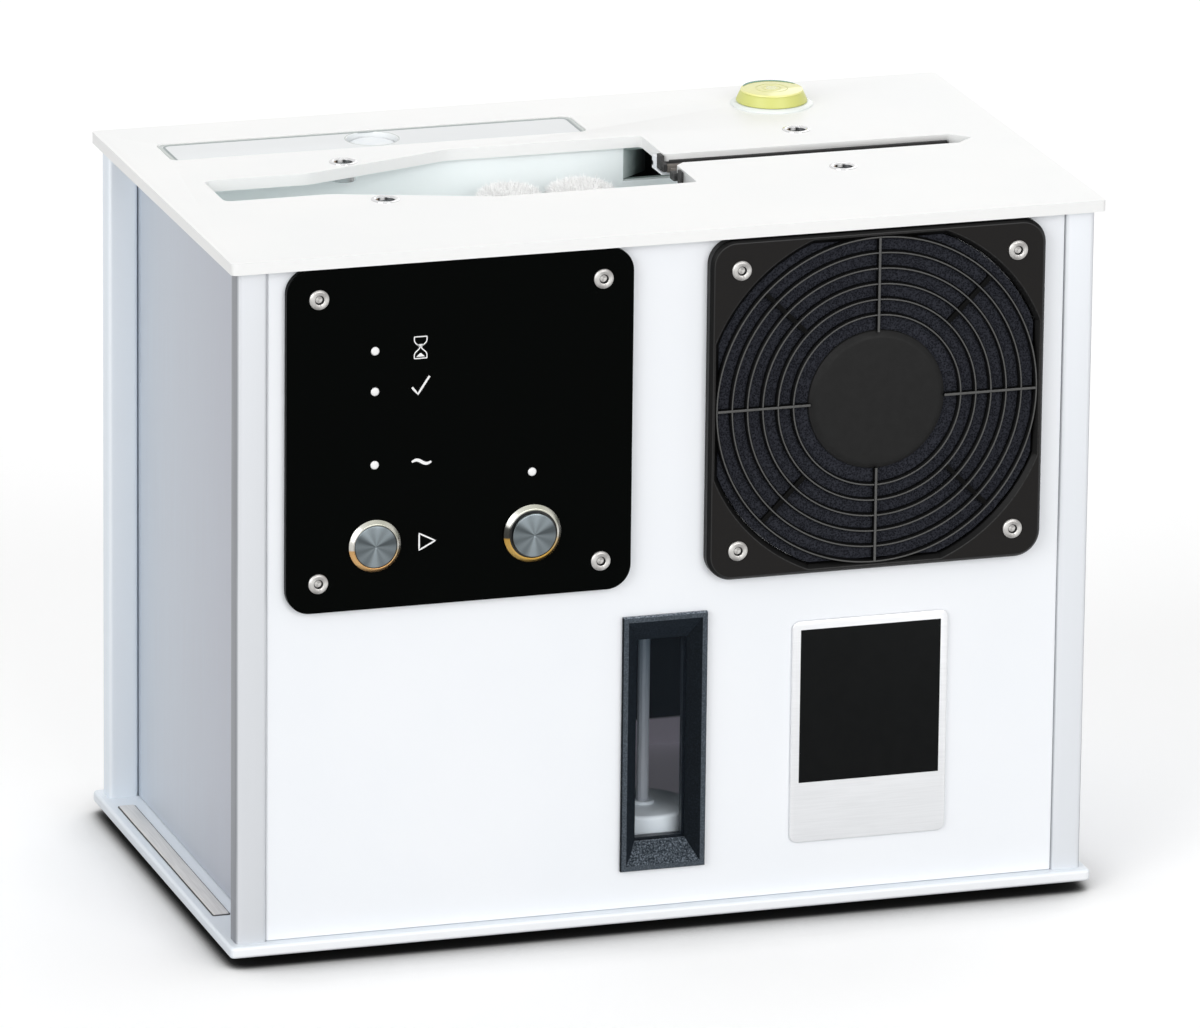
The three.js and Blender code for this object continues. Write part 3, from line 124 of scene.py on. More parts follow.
def round_corners(corners, steps=5):
    """A line through (x, y, radius) corners, each bridged by an arc of that radius tangent to both sides."""
    corners = np.asarray(corners, float)
    line = [corners[:1, :2]]
    for before, corner, after in zip(corners[:-2], corners[1:-1], corners[2:]):
        to_before, to_after = before[:2] - corner[:2], after[:2] - corner[:2]
        to_before /= np.linalg.norm(to_before)
        to_after /= np.linalg.norm(to_after)
        half = math.acos(np.clip(to_before @ to_after, -1, 1)) / 2
        if corner[2] == 0 or half > 1.55:
            line.append(corner[None, :2])
            continue
        middle = to_before + to_after
        centre = corner[:2] + middle / np.linalg.norm(middle) * corner[2] / math.sin(half)
        reach = corner[2] / math.tan(half)
        first, last = corner[:2] + to_before * reach - centre, corner[:2] + to_after * reach - centre
        angle = math.acos(np.clip(first @ last / corner[2] ** 2, -1, 1))
        share = np.linspace(0, 1, steps)[:, None]
        arc = np.sin((1 - share) * angle) * first + np.sin(share * angle) * last
        line.append(centre + arc / math.sin(angle))
    line.append(corners[-1:, :2])
    return np.concatenate(line)


def circle(sides, first=X, second=Y):
    """The angles t of a circle's sides, and cos t along the first axis plus sin t along the second."""
    turn = np.linspace(0, FULL_TURN, sides, endpoint=False)
    return turn, np.cos(turn)[:, None] * first + np.sin(turn)[:, None] * second


def turned(profile, centre, along=Z, sides=64):
    """Profile points: centre + distance along the axis + radius (cos t, sin t) across it."""
    radius, distance = np.asarray(profile, float).T[:, :, None, None]
    first = Z if abs(along[2]) < 0.5 else X
    _, across = circle(sides, first, np.cross(along, first))
    return np.asarray(centre, float) + distance * along + radius * across


def lathe(name, profile, centre, material, along=Z, sides=64, closed=False, **rest):
    """A turned piece, from a profile or (x, y, radius) corners; closed joins its ends, as for a ring."""
    if len(profile[0]) == 3:
        profile = round_corners(profile)
    points = turned(profile, centre, along, sides)
    piece(name, points, quads(len(points), sides, wrap_rows=closed), material, **rest)


def rounded_rectangle(half_x, half_y, radius, steps=9):
    """Points round a rectangle: four quarter circles of the radius about the corner centres."""
    angle = np.linspace(0, math.pi / 2, steps)[None, :] + np.arange(4)[:, None] * math.pi / 2
    sign_x, sign_y = np.array([1, -1, -1, 1])[:, None], np.array([1, 1, -1, -1])[:, None]
    x = sign_x * (half_x - radius) + radius * np.cos(angle)
    y = sign_y * (half_y - radius) + radius * np.sin(angle)
    return np.stack([x, y], -1).reshape(-1, 2)


def slab(name, outline, near, far, edge, centre, axes, material, **rest):
    """An outline along its depth, drawn in by edge (1 - sin a) over a quarter round at each face."""
    angle = np.linspace(0, math.pi / 2, 5)
    inset = edge * (1 - np.sin(angle))
    depth = edge * (1 - np.cos(angle))
    inset = np.concatenate([inset, inset[::-1]])
    depth = np.concatenate([near + depth, far - depth[::-1]])
    rings = np.stack([outline(value) for value in inset])
    first, second, third = axes
    points = centre + rings[..., :1] * first + rings[..., 1:] * second + depth[:, None, None] * third
    piece(name, points, capped(*rings.shape[:2]), material, **rest)


def plate(name, spans, radius, near, far, edge, axes, material, **rest):
    """A rounded plate over two (low, high) spans, from near to far along the third axis."""
    (low_a, high_a), (low_b, high_b) = spans
    half_a, half_b = (high_a - low_a) / 2, (high_b - low_b) / 2

    def outline(inset):
        return rounded_rectangle(half_a - inset, half_b - inset, max(radius - inset, 0.05))

    centre = (low_a + high_a) / 2 * axes[0] + (low_b + high_b) / 2 * axes[1]
    slab(name, outline, near, far, edge, centre, axes, material, **rest)


def softened(name, node, material, width, chosen, body="cabinet", smooth=40):
    """A CAD node's copy: flats joined, edges rounded by width * chosen(middle of the edge)."""
    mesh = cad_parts[node].data.copy()
    work = bmesh.new()
    work.from_mesh(mesh)
    bmesh.ops.remove_doubles(work, verts=work.verts, dist=2e-6)
    bmesh.ops.dissolve_limit(work, angle_limit=math.radians(1), verts=work.verts, edges=work.edges)
    bmesh.ops.recalc_face_normals(work, faces=work.faces)
    weight = work.edges.layers.float.new("bevel_weight_edge")
    for edge in work.edges:
        if len(edge.link_faces) == 2 and edge.calc_face_angle(0) > math.radians(30):
            edge[weight] = float(chosen((edge.verts[0].co + edge.verts[1].co) / 2 / MM))
    made = shaded(name, work, mesh, material, smooth)
    bevel = made.modifiers.new("edge rounding", "BEVEL")
    bevel.width = width * MM
    bevel.segments = 3
    bevel.limit_method = "WEIGHT"
    bevel.harden_normals = False
    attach(made, body)
    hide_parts(node)


# Finishes


def rgba(colour):
    """A colour from a grey value or from red, green and blue."""
    return (*(colour if isinstance(colour, tuple) else (colour,) * 3), 1)


class Nodes:
    """A node tree, with short ways to add nodes, link them and reckon with their outputs."""

    def __init__(self, tree):
        self.tree = tree

    def add(self, kind, **values):
        """A node with its properties and, by name, its input values."""
        made = self.tree.nodes.new(kind)
        for key, value in values.items():
            if hasattr(made, key) and key not in made.inputs:
                setattr(made, key, value)
            else:
                made.inputs[key].default_value = value
        return made

    def link(self, source, target):
        self.tree.links.new(source, target)

    def maths(self, operation, *values):
        """One reckoning with numbers or outputs."""
        made = self.add("ShaderNodeMath", operation=operation)
        for socket, value in zip(made.inputs, values):
            if isinstance(value, (int, float)):
                socket.default_value = value
            else:
                self.link(value, socket)
        return made.outputs["Value"]

    def plus(self, first, *others):
        for other in others:
            first = self.maths("ADD", first, other)
        return first

    def times(self, first, second):
        return self.maths("MULTIPLY", first, second)

    def spread(self, source, low, high, start=0.3, end=0.7):
        """The source's range start to end carried onto low to high."""
        span = self.add("ShaderNodeMapRange",
                        **{"From Min": start, "From Max": end, "To Min": low, "To Max": high})
        self.link(source, span.inputs["Value"])
        return span.outputs["Result"]


class Finish(Nodes):
    """A node material round one Principled shader, read in Object coordinates."""

    def __init__(self, name, colour, roughness, metallic=0.0, **sockets):
        self.material = bpy.data.materials.new(name)
        self.material.use_nodes = True
        super().__init__(self.material.node_tree)
        self.shader = self.tree.nodes["Principled BSDF"]
        sockets.update({"Base Color": rgba(colour), "Roughness": roughness, "Metallic": metallic})
        for socket, value in sockets.items():
            self.shader.inputs[socket.replace("_", " ")].default_value = value
        self.place = self.add("ShaderNodeTexCoord").outputs["Object"]

    def mapped(self, shift, stretch=(1, 1, 1)):
        """The place, stretched and then moved by shift metres."""
        mapping = self.add("ShaderNodeMapping", Scale=stretch, Location=shift)
        self.link(self.place, mapping.inputs["Vector"])
        return mapping.outputs["Vector"]

    def noise(self, scale, stretch=(1, 1, 1), detail=3.0):
        """Noise of about 1 / scale metres, stretched along the axes."""
        noise = self.add("ShaderNodeTexNoise", Scale=scale, Detail=detail)
        self.link(self.mapped((0, 0, 0), stretch), noise.inputs["Vector"])
        return noise.outputs["Fac"]

    def ramp(self, source, stops):
        """Colours at (place, colour) stops along the source, the first and last of them named first."""
        node = self.add("ShaderNodeValToRGB")
        elements = node.color_ramp.elements
        for number, (place, colour) in enumerate(stops):
            stop = elements[number] if number < 2 else elements.new(place)
            stop.position = place
            stop.color = rgba(colour)
        self.link(source, node.inputs["Fac"])
        return node.outputs["Color"]

    def colours(self, source, first, second, start=0.3, end=0.7):
        """Two colours mixed by the source."""
        return self.ramp(source, [(start, first), (end, second)])

    def parts(self, vector=None):
        """The X, Y and Z parts of a vector, or else of the place."""
        split = self.add("ShaderNodeSeparateXYZ")
        self.link(self.place if vector is None else vector, split.inputs["Vector"])
        return [split.outputs[axis] for axis in "XYZ"]

    def normal(self, kind="True Normal"):
        """The parts of the surface's direction: the face's own, or Normal for the softened one."""
        return self.parts(self.add("ShaderNodeNewGeometry").outputs[kind])

    def squareness(self, part, noise, drift):
        """How squarely the surface faces along an axis, 0 to 1, with a drift by the noise."""
        return self.plus(self.maths("ABSOLUTE", part), self.spread(noise, -drift, drift))

    def around(self, centre, upright=2):
        """The angle round a centre, anticlockwise from X to the upright axis, and the distance in metres."""
        place = self.parts(self.mapped([-value * MM for value in centre]))
        x, up = place[0], place[upright]
        square = self.plus(self.times(x, x), self.times(up, up))
        return self.maths("ARCTAN2", up, x), self.maths("SQRT", square)

    def colour_from(self, output):
        self.link(output, self.shader.inputs["Base Color"])

    def roughness_from(self, output):
        self.link(output, self.shader.inputs["Roughness"])

    def bumped(self, output, strength, distance):
        """The material, with the output as its bump."""
        bump = self.add("ShaderNodeBump", Strength=strength, Distance=distance * MM)
        self.link(output, bump.inputs["Height"])
        self.link(bump.outputs["Normal"], self.shader.inputs["Normal"])
        return self.material


def powder_coat(name, colour, shade, roughness=0.42):
    """Fine powder coat: a slight orange peel and a faint drift of tone."""
    made = Finish(name, colour, roughness)
    made.colour_from(made.colours(made.noise(18, detail=2), shade, colour))
    made.roughness_from(made.spread(made.noise(700), roughness - 0.05, roughness + 0.06))
    return made.bumped(made.noise(1400, detail=2), 0.08, 0.15)


def brushed(name, colour, shade, roughness, stretch, metallic=1.0, bump=0.12):
    """Brushed metal: noise drawn out along the brushing gives its tone, roughness and bump."""
    made = Finish(name, colour, roughness, metallic)
    lines = made.noise(60, stretch, detail=5)
    made.colour_from(made.colours(lines, shade, colour))
    made.roughness_from(made.spread(lines, roughness - 0.06, roughness + 0.08))
    return made.bumped(lines, bump, 0.05)


def face_turned_painted_reflection(name, dark, light, centre, roughness, lobes, socket=None):
    """Faced metal: painted reflection sectors from a sum of share * cos(count * angle + phase), fine rings,
    and with a socket, a painted dark ring of shade at its edge.
    """
    made = Finish(name, light, roughness, 1.0)
    angle, distance = made.around(centre)
    waves = [made.times(made.maths("COSINE", made.plus(made.times(angle, count), phase)), share)
             for count, phase, share in lobes]
    reach = sum(share for _, _, share in lobes) * 0.8
    tone = made.spread(made.plus(*waves), 0.2, 1.0, -reach, reach)
    stops = [(0.2, dark), (1.0, light)]
    if socket:
        # Painted shade: a dark ring at the socket's edge.
        inside = made.maths("COMPARE", distance, socket * MM, 0.22 * MM)
        tone = made.times(tone, made.maths("SUBTRACT", 1.0, inside))
        stops = [(0.0, 0.02), (1.0, light), (0.2, dark)]
    rings = made.maths("SINE", made.times(distance, 16000.0))
    made.colour_from(made.ramp(tone, stops))
    made.roughness_from(made.spread(rings, roughness - 0.06, roughness + 0.08, -1, 1))
    return made.bumped(rings, 0.1, 0.03)


def moulded(name, colour, shade, roughness, grain=900, bump=0.25, depth=0.1, **sockets):
    """Moulded plastic with a fine spark-eroded grain."""
    made = Finish(name, colour, roughness, **sockets)
    made.colour_from(made.colours(made.noise(grain / 3), shade, colour))
    made.roughness_from(made.spread(made.noise(grain / 2), roughness - 0.06, roughness + 0.08))
    return made.bumped(made.noise(grain, detail=2), bump, depth)


def clear(name, colour, alpha, roughness=0.05):
    """Clear acrylic or glass: a thin tint over what lies behind, with faint polish marks."""
    made = Finish(name, colour, roughness, Alpha=alpha, Specular_IOR_Level=0.1)
    made.roughness_from(made.spread(made.noise(250), roughness, roughness + 0.05))
    return made.material


def open_foam():
    """Blue-black reticulated foam: cell walls of about half a millimetre stand over dark cells."""
    made = Finish("dust foam", (0.014, 0.017, 0.024), 0.9, Specular_IOR_Level=0.05)
    cells = made.add("ShaderNodeTexVoronoi", Scale=1500.0)
    made.link(made.place, cells.inputs["Vector"])
    walls = cells.outputs["Distance"]
    made.colour_from(made.colours(walls, (0.006, 0.0065, 0.009), (0.032, 0.034, 0.043), 0.15, 0.75))
    return made.bumped(walls, 0.6, 0.4)


def slate_bezel_painted_light():
    """Slate plastic with painted light: each face of the funnel gets its own tone by the way it faces,
    upward faces lighter with their pebble grain, and a painted highlight on the front rim.
    """
    made = Finish("slate bezel, painted light", (0.02, 0.026, 0.034), 0.6, Specular_IOR_Level=0.05)
    x, y, z = made.normal()
    up = made.maths("MAXIMUM", z, 0.0)
    # Painted light and shade: upward faces lightest, downward faces and those facing right a little lighter,
    # the rest darker.
    flanks = made.plus(made.times(made.maths("MAXIMUM", x, 0.0), 0.1), made.times(up, 0.65),
                       made.times(made.maths("MINIMUM", z, 0.0), -0.2))
    # Painted highlight: the front rim, facing straight out, gets a lighter tone.
    rim = made.times(made.maths("LESS_THAN", y, -0.93), 0.37)
    grain = made.times(made.spread(made.noise(1700, detail=2), -0.35, 0.35),
                       made.plus(made.times(up, 1.2), 0.2))
    stops = [(0.0, (0.003, 0.004, 0.005)), (1.0, (0.3, 0.33, 0.36)), (0.15, (0.0065, 0.009, 0.012)),
             (0.3, (0.016, 0.022, 0.03)), (0.5, (0.055, 0.067, 0.08)), (0.75, (0.17, 0.2, 0.24))]
    made.colour_from(made.ramp(made.plus(flanks, rim, grain, 0.15), stops))
    return made.bumped(made.noise(1800, detail=2), 0.5, 0.2)


def guard_bars_painted_light():
    """Black bars with painted light: a painted highlight on the narrow crown and painted shade on the sides;
    the tone follows how squarely each face looks out.
    """
    made = Finish("guard bars, painted highlight and shade", 0.03, 0.38, Specular_IOR_Level=0.3)
    crown = made.squareness(made.normal("Normal")[1], made.noise(900), 0.04)
    # Painted shade on the sides, a painted highlight on the crown.
    stops = [(0.0, 0.0015), (1.0, (0.085, 0.085, 0.083)), (0.78, 0.002), (0.93, (0.06, 0.06, 0.058))]
    made.colour_from(made.ramp(crown, stops))
    return made.bumped(made.noise(1200), 0.1, 0.05)


def guard_frame_painted_light(end):
    """Guard plastic: brown-black face, painted shade that makes the bevels black, and a faint painted
    highlight line where they meet.
    """
    face = (0.006, 0.0052, 0.0048)
    made = Finish(end + " guard plastic, painted shade and highlight", face, 0.42, Specular_IOR_Level=0.16)
    facing = made.squareness(made.normal()[1], made.noise(1200), 0.012)
    # Painted shade on the bevels, a painted highlight line between them and the face.
    stops = [(0.0, 0.0008), (1.0, face), (0.8, 0.0008), (0.9, 0.026), (0.95, 0.026),
             (0.975, (0.0055, 0.0048, 0.0044))]
    made.colour_from(made.ramp(facing, stops))
    return made.bumped(made.noise(1200, detail=2), 0.25, 0.1)


def base_coat_painted_light():
    """The base's powder coat with painted light: a cool tint that stands for sky light on top and at the
    sides, a cleaner white on front and rear edges.
    """
    cool = (0.79, 0.84, 0.89)
    made = Finish("white base coat, painted sky tint", cool, 0.42)
    # Painted light: the tone follows how squarely the face looks to the front or rear.
    edge = made.squareness(made.normal()[1], made.noise(18, detail=2), 0.04)
    made.colour_from(made.colours(edge, cool, (0.93, 0.95, 0.975), 0.5, 0.95))
    return made.bumped(made.noise(1400, detail=2), 0.08, 0.15)


def post_satin_painted_light(name, side, front):
    """Satin aluminium drawn lengthwise, with painted light: one tone to the side, another to the front and
    back.
    """
    made = Finish(name, front, 0.42, 0.3)
    lines = made.noise(60, (30, 30, 0.3), detail=5)
    sideways = made.squareness(made.normal("Normal")[0], lines, 0.06)
    made.colour_from(made.colours(sideways, front, side, 0.6, 0.95))
    made.roughness_from(made.spread(lines, 0.36, 0.48))
    return made.bumped(lines, 0.05, 0.05)


def anodised_side():
    """Matt anodised sheet: fine upright grain, and painted shade that makes the tone drift darker towards
    the front.
    """
    made = Finish("matt anodised side", (0.54, 0.58, 0.64), 0.48, 0.5)
    grain = made.noise(120, (1, 6, 0.15))
    # Painted shade: the tone darkens towards the front, along Y.
    drift = made.plus(made.spread(made.parts()[1], 0, 1, -0.09, 0.09), made.spread(grain, -0.12, 0.12))
    made.colour_from(made.colours(drift, (0.465, 0.475, 0.53), (0.6, 0.65, 0.71), 0.0, 1.0))
    made.roughness_from(made.spread(grain, 0.42, 0.54))
    return made.bumped(made.noise(1100), 0.08, 0.06)


def tank_painted_shade_and_glow():
    """The tank's inside with painted shade: near black above a level line at about 22 mm and along its front
    lip, pale below that line, with a faint painted glow of its own colour; the pale stem round its own axis,
    darker towards the top.
    """
    # Painted glow: the tank's own colour shines faintly through Emission, though it is no lamp.
    made = Finish("tank plastic, painted shade and glow", (0.012, 0.017, 0.022), 0.4, Emission_Strength=0.05)
    x, y, z = made.parts()
    # Painted shade: near black above the level line and at the front lip, under y = -81 mm, where little
    # light reaches.
    above_level_line = made.spread(z, 0, 1, 0.021, 0.0225)
    painted_shade_share = made.maths("MAXIMUM", above_level_line, made.maths("LESS_THAN", y, -81 * MM))
    walls = made.colours(painted_shade_share, (0.86, 0.82, 0.92), (0.004, 0.007, 0.012), 0.2, 0.8)
    across, behind = made.maths("SUBTRACT", x, STEM_X * MM), made.maths("SUBTRACT", y, STEM_Y * MM)
    square = made.plus(made.times(across, across), made.times(behind, behind))
    height = made.spread(z, 0, 1, 0.04, 0.11)
    stem = made.colours(height, (0.4, 0.43, 0.48), (0.14, 0.19, 0.24), 0.2, 0.9)
    mix = made.add("ShaderNodeMix", data_type="RGBA")
    share, first, second, mixed = mix.inputs[0], mix.inputs[6], mix.inputs[7], mix.outputs[2]
    made.link(made.maths("LESS_THAN", square, (2.8 * MM) ** 2), share)
    made.link(walls, first)
    made.link(stem, second)
    made.colour_from(mixed)
    # Painted glow: the mixed colour also feeds the emission.
    made.link(mixed, made.shader.inputs["Emission Color"])
    return made.bumped(made.noise(500), 0.1, 0.05)


WHITE_TOP = powder_coat("white top coat", (0.925, 0.925, 0.915), (0.9, 0.905, 0.9))
WHITE_FRONT = powder_coat("white front coat", (0.915, 0.935, 0.965), (0.895, 0.92, 0.955))
SIDE_ANODISED = anodised_side()

gloss = Finish("black acrylic", (0.0011, 0.0015, 0.0013), 0.16, Specular_IOR_Level=0.02)
gloss.roughness_from(gloss.spread(gloss.noise(90), 0.13, 0.2))
GLOSS_BLACK = gloss.material
GUARD_BARS_PAINTED_LIGHT = guard_bars_painted_light()
# Painted shade: the recessed diagonal spokes get one flat near-black, darker than the bars' crowns.
GUARD_SHADE = moulded("guard diagonals, painted shade", 0.004, 0.003, 0.5, Specular_IOR_Level=0.05)
HUB_BLACK = moulded("guard hub plastic", 0.0125, 0.0105, 0.5, Specular_IOR_Level=0.14)
FAN_BLACK = moulded("fan plastic", 0.012, 0.008, 0.5, Specular_IOR_Level=0.2)
DUCT_GREY = moulded("duct plastic", (0.42, 0.5, 0.48), (0.36, 0.44, 0.42), 0.45)
BEZEL_PAINTED_LIGHT = slate_bezel_painted_light()
# Painted glow: the bath's plastic shines faintly, lifting the shade inside the bath.
BATH_WHITE_GLOW = moulded("bath plastic, painted glow", (0.94, 0.99, 0.995), (0.93, 0.985, 0.99), 0.35, 300, 0.05, 0.05,
                     Emission_Color=(0.9, 1, 1, 1), Emission_Strength=0.05)
FLOAT_WHITE = moulded("float plastic", (0.88, 0.95, 1.0), (0.82, 0.9, 0.97), 0.4, 200, 0.05, 0.05)
RUBBER = moulded("lip rubber", 0.05, 0.02, 0.75, 1200, 0.3, 0.1)
FOOT_RUBBER = moulded("foot rubber", 0.02, 0.014, 0.8, 700, 0.2, 0.08)
FELT = moulded("wiper felt", (0.2, 0.18, 0.16), (0.11, 0.1, 0.09), 0.95, 1800, 0.8, 0.3)
PRINT_WHITE = moulded("white print", 0.92, 0.88, 0.6, 900, 0.05, 0.02)
LAMP_WHITE = moulded("lamp lens", 0.93, 0.88, 0.25, 200, 0.02, 0.02)
BOARD_GREEN = moulded("circuit board", (0.02, 0.1, 0.05), (0.012, 0.06, 0.03), 0.5, 500)
SPONGE = moulded("filter sponge", (0.93, 0.955, 0.97), (0.86, 0.9, 0.93), 0.95, 600, 0.5, 0.4)
# Painted glow: the pile shines faintly, lifting the shade between its strands.
PILE_GLOW = moulded("microfibre pile, painted glow", (0.99, 0.99, 0.985), (0.98, 0.98, 0.975), 0.95, 900, 0.1, 0.1,
               Sheen_Weight=0.4, Emission_Color=(1, 1, 1, 1), Emission_Strength=0.02)
CHROME = moulded("bright plating", 0.75, (0.66, 0.66, 0.67), 0.12, 300, 0.02, 0.02, metallic=1.0)
STEEL = brushed("brushed steel", (0.82, 0.805, 0.79), (0.68, 0.665, 0.65), 0.5, (30, 1, 30), 0.4)
BADGE_METAL = brushed("badge metal", (0.82, 0.83, 0.845), (0.77, 0.78, 0.795), 0.36, (1, 30, 30), 0.6, 0.05)
BADGE_BLACK = moulded("badge field", (0.0035, 0.004, 0.0042), (0.0025, 0.003, 0.0032), 0.4, 600, 0.05, 0.02,
                      Specular_IOR_Level=0.08)
BRASS = brushed("turned brass", (0.62, 0.44, 0.18), (0.5, 0.35, 0.14), 0.3, (1, 30, 30))
MOTOR_STEEL = brushed("motor case", 0.5, 0.4, 0.4, (30, 30, 1))
PANE = clear("window pane", (0.3, 0.4, 0.5), 0.01, 0.03)
# Painted light: the lid is nearly opaque and pale, covering the shade on the sponge under it.
LID_PALE_OVER_SHADE = clear("clear lid", (0.96, 0.98, 0.99), 0.86, 0.12)
LID_EDGE = clear("clear lid edge", (0.66, 0.7, 0.68), 0.85, 0.2)
VIAL_CLEAR = clear("level shell", (0.92, 0.97, 0.92), 0.3, 0.05)
VIAL_FLANGE = moulded("level flange", (0.8, 0.84, 0.82), (0.78, 0.82, 0.8), 0.3, 100, 0.02, 0.02)
VIAL_FLUID = moulded("level fluid", (0.62, 0.64, 0.2), (0.6, 0.61, 0.17), 0.4, 100, 0.02, 0.02)
VIAL_TOP = moulded("level top", (0.84, 0.82, 0.34), (0.81, 0.79, 0.3), 0.08, 100, 0.02, 0.02)
VIAL_LINE = moulded("level line", (0.55, 0.56, 0.16), (0.5, 0.52, 0.14), 0.3, 100, 0.02, 0.02)
VIAL_RIM_REFRACTION = moulded("level rim, painted refraction", (0.06, 0.36, 0.24), (0.05, 0.2, 0.13), 0.2, 60, 0.02, 0.02)
BASE_COAT_PAINTED_LIGHT = base_coat_painted_light()
SEAM_GREY = moulded("lid seam", (0.3, 0.34, 0.34), (0.26, 0.3, 0.3), 0.5)
DARK_LINE = moulded("dark line", 0.02, 0.012, 0.5)

NODE_FINISHES = {
    WHITE_FRONT: "front_panel rear_panel",
    SIDE_ANODISED: "left_panel right_panel",
    MOTOR_STEEL: "gear_plate roller_motor record_drive_motor ultrasonic_transducer",
    FAN_BLACK: "front_fan_frame front_fan_rotor rear_fan_frame rear_fan_rotor pump",
    DUCT_GREY: "front_air_duct rear_air_duct",
    BATH_WHITE_GLOW: "wash_bath",
    SPONGE: "filter_sponge",
    RUBBER: "record_drive_wheel record_idler_wheel fill_hose",
    BRASS: "drive_pinion",
    BOARD_GREEN: "control_board",
    PANE: "window_pane",
    open_foam(): "front_fan_foam",
    tank_painted_shade_and_glow(): "reservoir",
}
for node_finish, names in NODE_FINISHES.items():
    for node_name in names.split():
        coat(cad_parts[node_name].data, node_finish)


# Plates and posts


def plate_edges():
    """The two plates, edges rounded; finer at the lid pocket, none at the slot and bush holes."""

    def top_share(middle):
        if math.hypot(abs(middle.x) - BUSH_X, abs(middle.y - SLOT_Y) - BUSH_Y) < 6.5:
            return 0
        if middle.z < TOP_UNDER + 1.6 and abs(middle.y) < 94:
            return 0
        if 45 < middle.y < 71 and middle.x < 13:
            return 0.35 * (middle.z > TOP_FACE - 0.1)
        return min(abs(middle.z - TOP_FACE), abs(middle.z - TOP_UNDER)) < 0.1

    def base_share(middle):
        return min(abs(middle.z - BASE_TOP + 4.25), abs(middle.z - BASE_TOP)) < 0.1

    softened("top_plate_coated", "top_plate", WHITE_TOP, 1.1, top_share)
    softened("bottom_plate_coated", "bottom_plate", BASE_COAT_PAINTED_LIGHT, 1.0, base_share)


def posts():
    """The four corner posts: a rounded square section carried straight up."""
    for corner, sign_x, sign_y in CORNERS:
        name = corner + "_post"
        # Painted light: each post gets its own side and front tones by how the light falls on its corner;
        # the front posts' sides are painted darkest.
        painted_side_tone, painted_front_tone = (0.8, 0.86, 0.92), (0.86, 0.9, 0.94)
        if sign_y < 0:
            painted_side_tone = (0.26, 0.272, 0.295)
            painted_front_tone = (0.68, 0.7, 0.73) if sign_x < 0 else (0.76, 0.785, 0.82)
        satin = post_satin_painted_light(name + " satin", painted_side_tone, painted_front_tone)
        centre = sign_x * POST_X * X + sign_y * POST_Y * Y
        slab(name + "_satin", post_outline, BASE_TOP, TOP_UNDER, 0.05, centre, FLAT, satin, replaces=[name])
        if sign_y < 0:
            span = sorted((sign_x * 149.1, sign_x * 149.6))
            plate(name + "_seam", (span, (8.6, 258.6)), 0.1, -90.2, -88.0, 0.05, UPRIGHT, BASE_COAT_PAINTED_LIGHT)


def post_outline(inset):
    """The post's section: 11.5 by 9 mm with round corners."""
    return rounded_rectangle(5.75 - inset, 4.5 - inset, 1.8 - inset, 7)


def feet():
    """The rubber feet: a low disc with rounded edges."""
    profile = [(0, 0, 0), (9, 0, 0.8), (9, 4, 0.3), (0, 4, 0)]
    for corner, sign_x, sign_y in CORNERS:
        name = corner + "_foot"
        centre = (sign_x * FOOT_X, sign_y * FOOT_Y, 0)
        lathe(name + "_rubber", profile, centre, FOOT_RUBBER, replaces=[name])


# Control plate, lamps and buttons


def screw(name, x, surface, z, toward, radius=3.65):
    """A low socket screw: a turned head, and six-sided rings of a / cos(angle from the flat)."""
    sides = 48
    turn, across = circle(sides, Z, X)
    hexagon = 1 / np.cos(np.mod(turn + 0.2, math.pi / 3) - math.pi / 6)
    head = round_corners([(radius, -0.05, 0), (radius, 0.75, 0.25), (radius - 0.75, 1.15, 0.3),
                          (1.95, 1.15, 0)])
    radii = np.concatenate([np.tile(head[:, :1], (1, sides)),
                            np.stack([1.5 * hexagon, 1.4 * hexagon, 0.01 * hexagon])])
    heights = np.concatenate([head[:, 1], [0.95, 0.1, 0.05]])
    centre = np.array([x, surface, z], float)
    points = centre + radii[..., None] * across + heights[:, None, None] * toward
    lobes = ((2, 0.8, 1.0), (5, 0, 0.3))
    metal = face_turned_painted_reflection(name + " metal", (0.34, 0.33, 0.32), (0.62, 0.61, 0.59), centre, 0.34, lobes, 1.5)
    piece(name, points, quads(len(points), sides), metal, smooth=30)


def ribbon(name, line, width, near, far, axes, material, closed=False, **rest):
    """A flat oblong section from near to far, carried along a line and square to its direction."""
    line = np.asarray(line, float)
    ahead, behind = np.roll(line, -1, 0), np.roll(line, 1, 0)
    if not closed:
        ahead[-1], behind[0] = line[-1], line[0]
    way = ahead - behind
    way /= np.linalg.norm(way, axis=1, keepdims=True)
    side = np.stack([-way[:, 1], way[:, 0]], -1) * np.reshape(width, (-1, 1)) / 2
    corners = [(line + sign * side) @ np.stack(axes[:2]) + depth * axes[2]
               for sign, depth in ((1, near), (1, far), (-1, far), (-1, near))]
    faces = quads(len(line), 4, wrap_rows=True) if closed else capped(len(line), 4)
    piece(name, np.stack(corners, 1), faces, material, **rest)


def stroke(name, line, width, closed=False):
    """A line of (x, z) points printed on the control plate."""
    ribbon(name, line, width, CONTROL_FACE + 0.02, CONTROL_FACE - 0.12, UPRIGHT, PRINT_WHITE, closed,
           smooth=20)


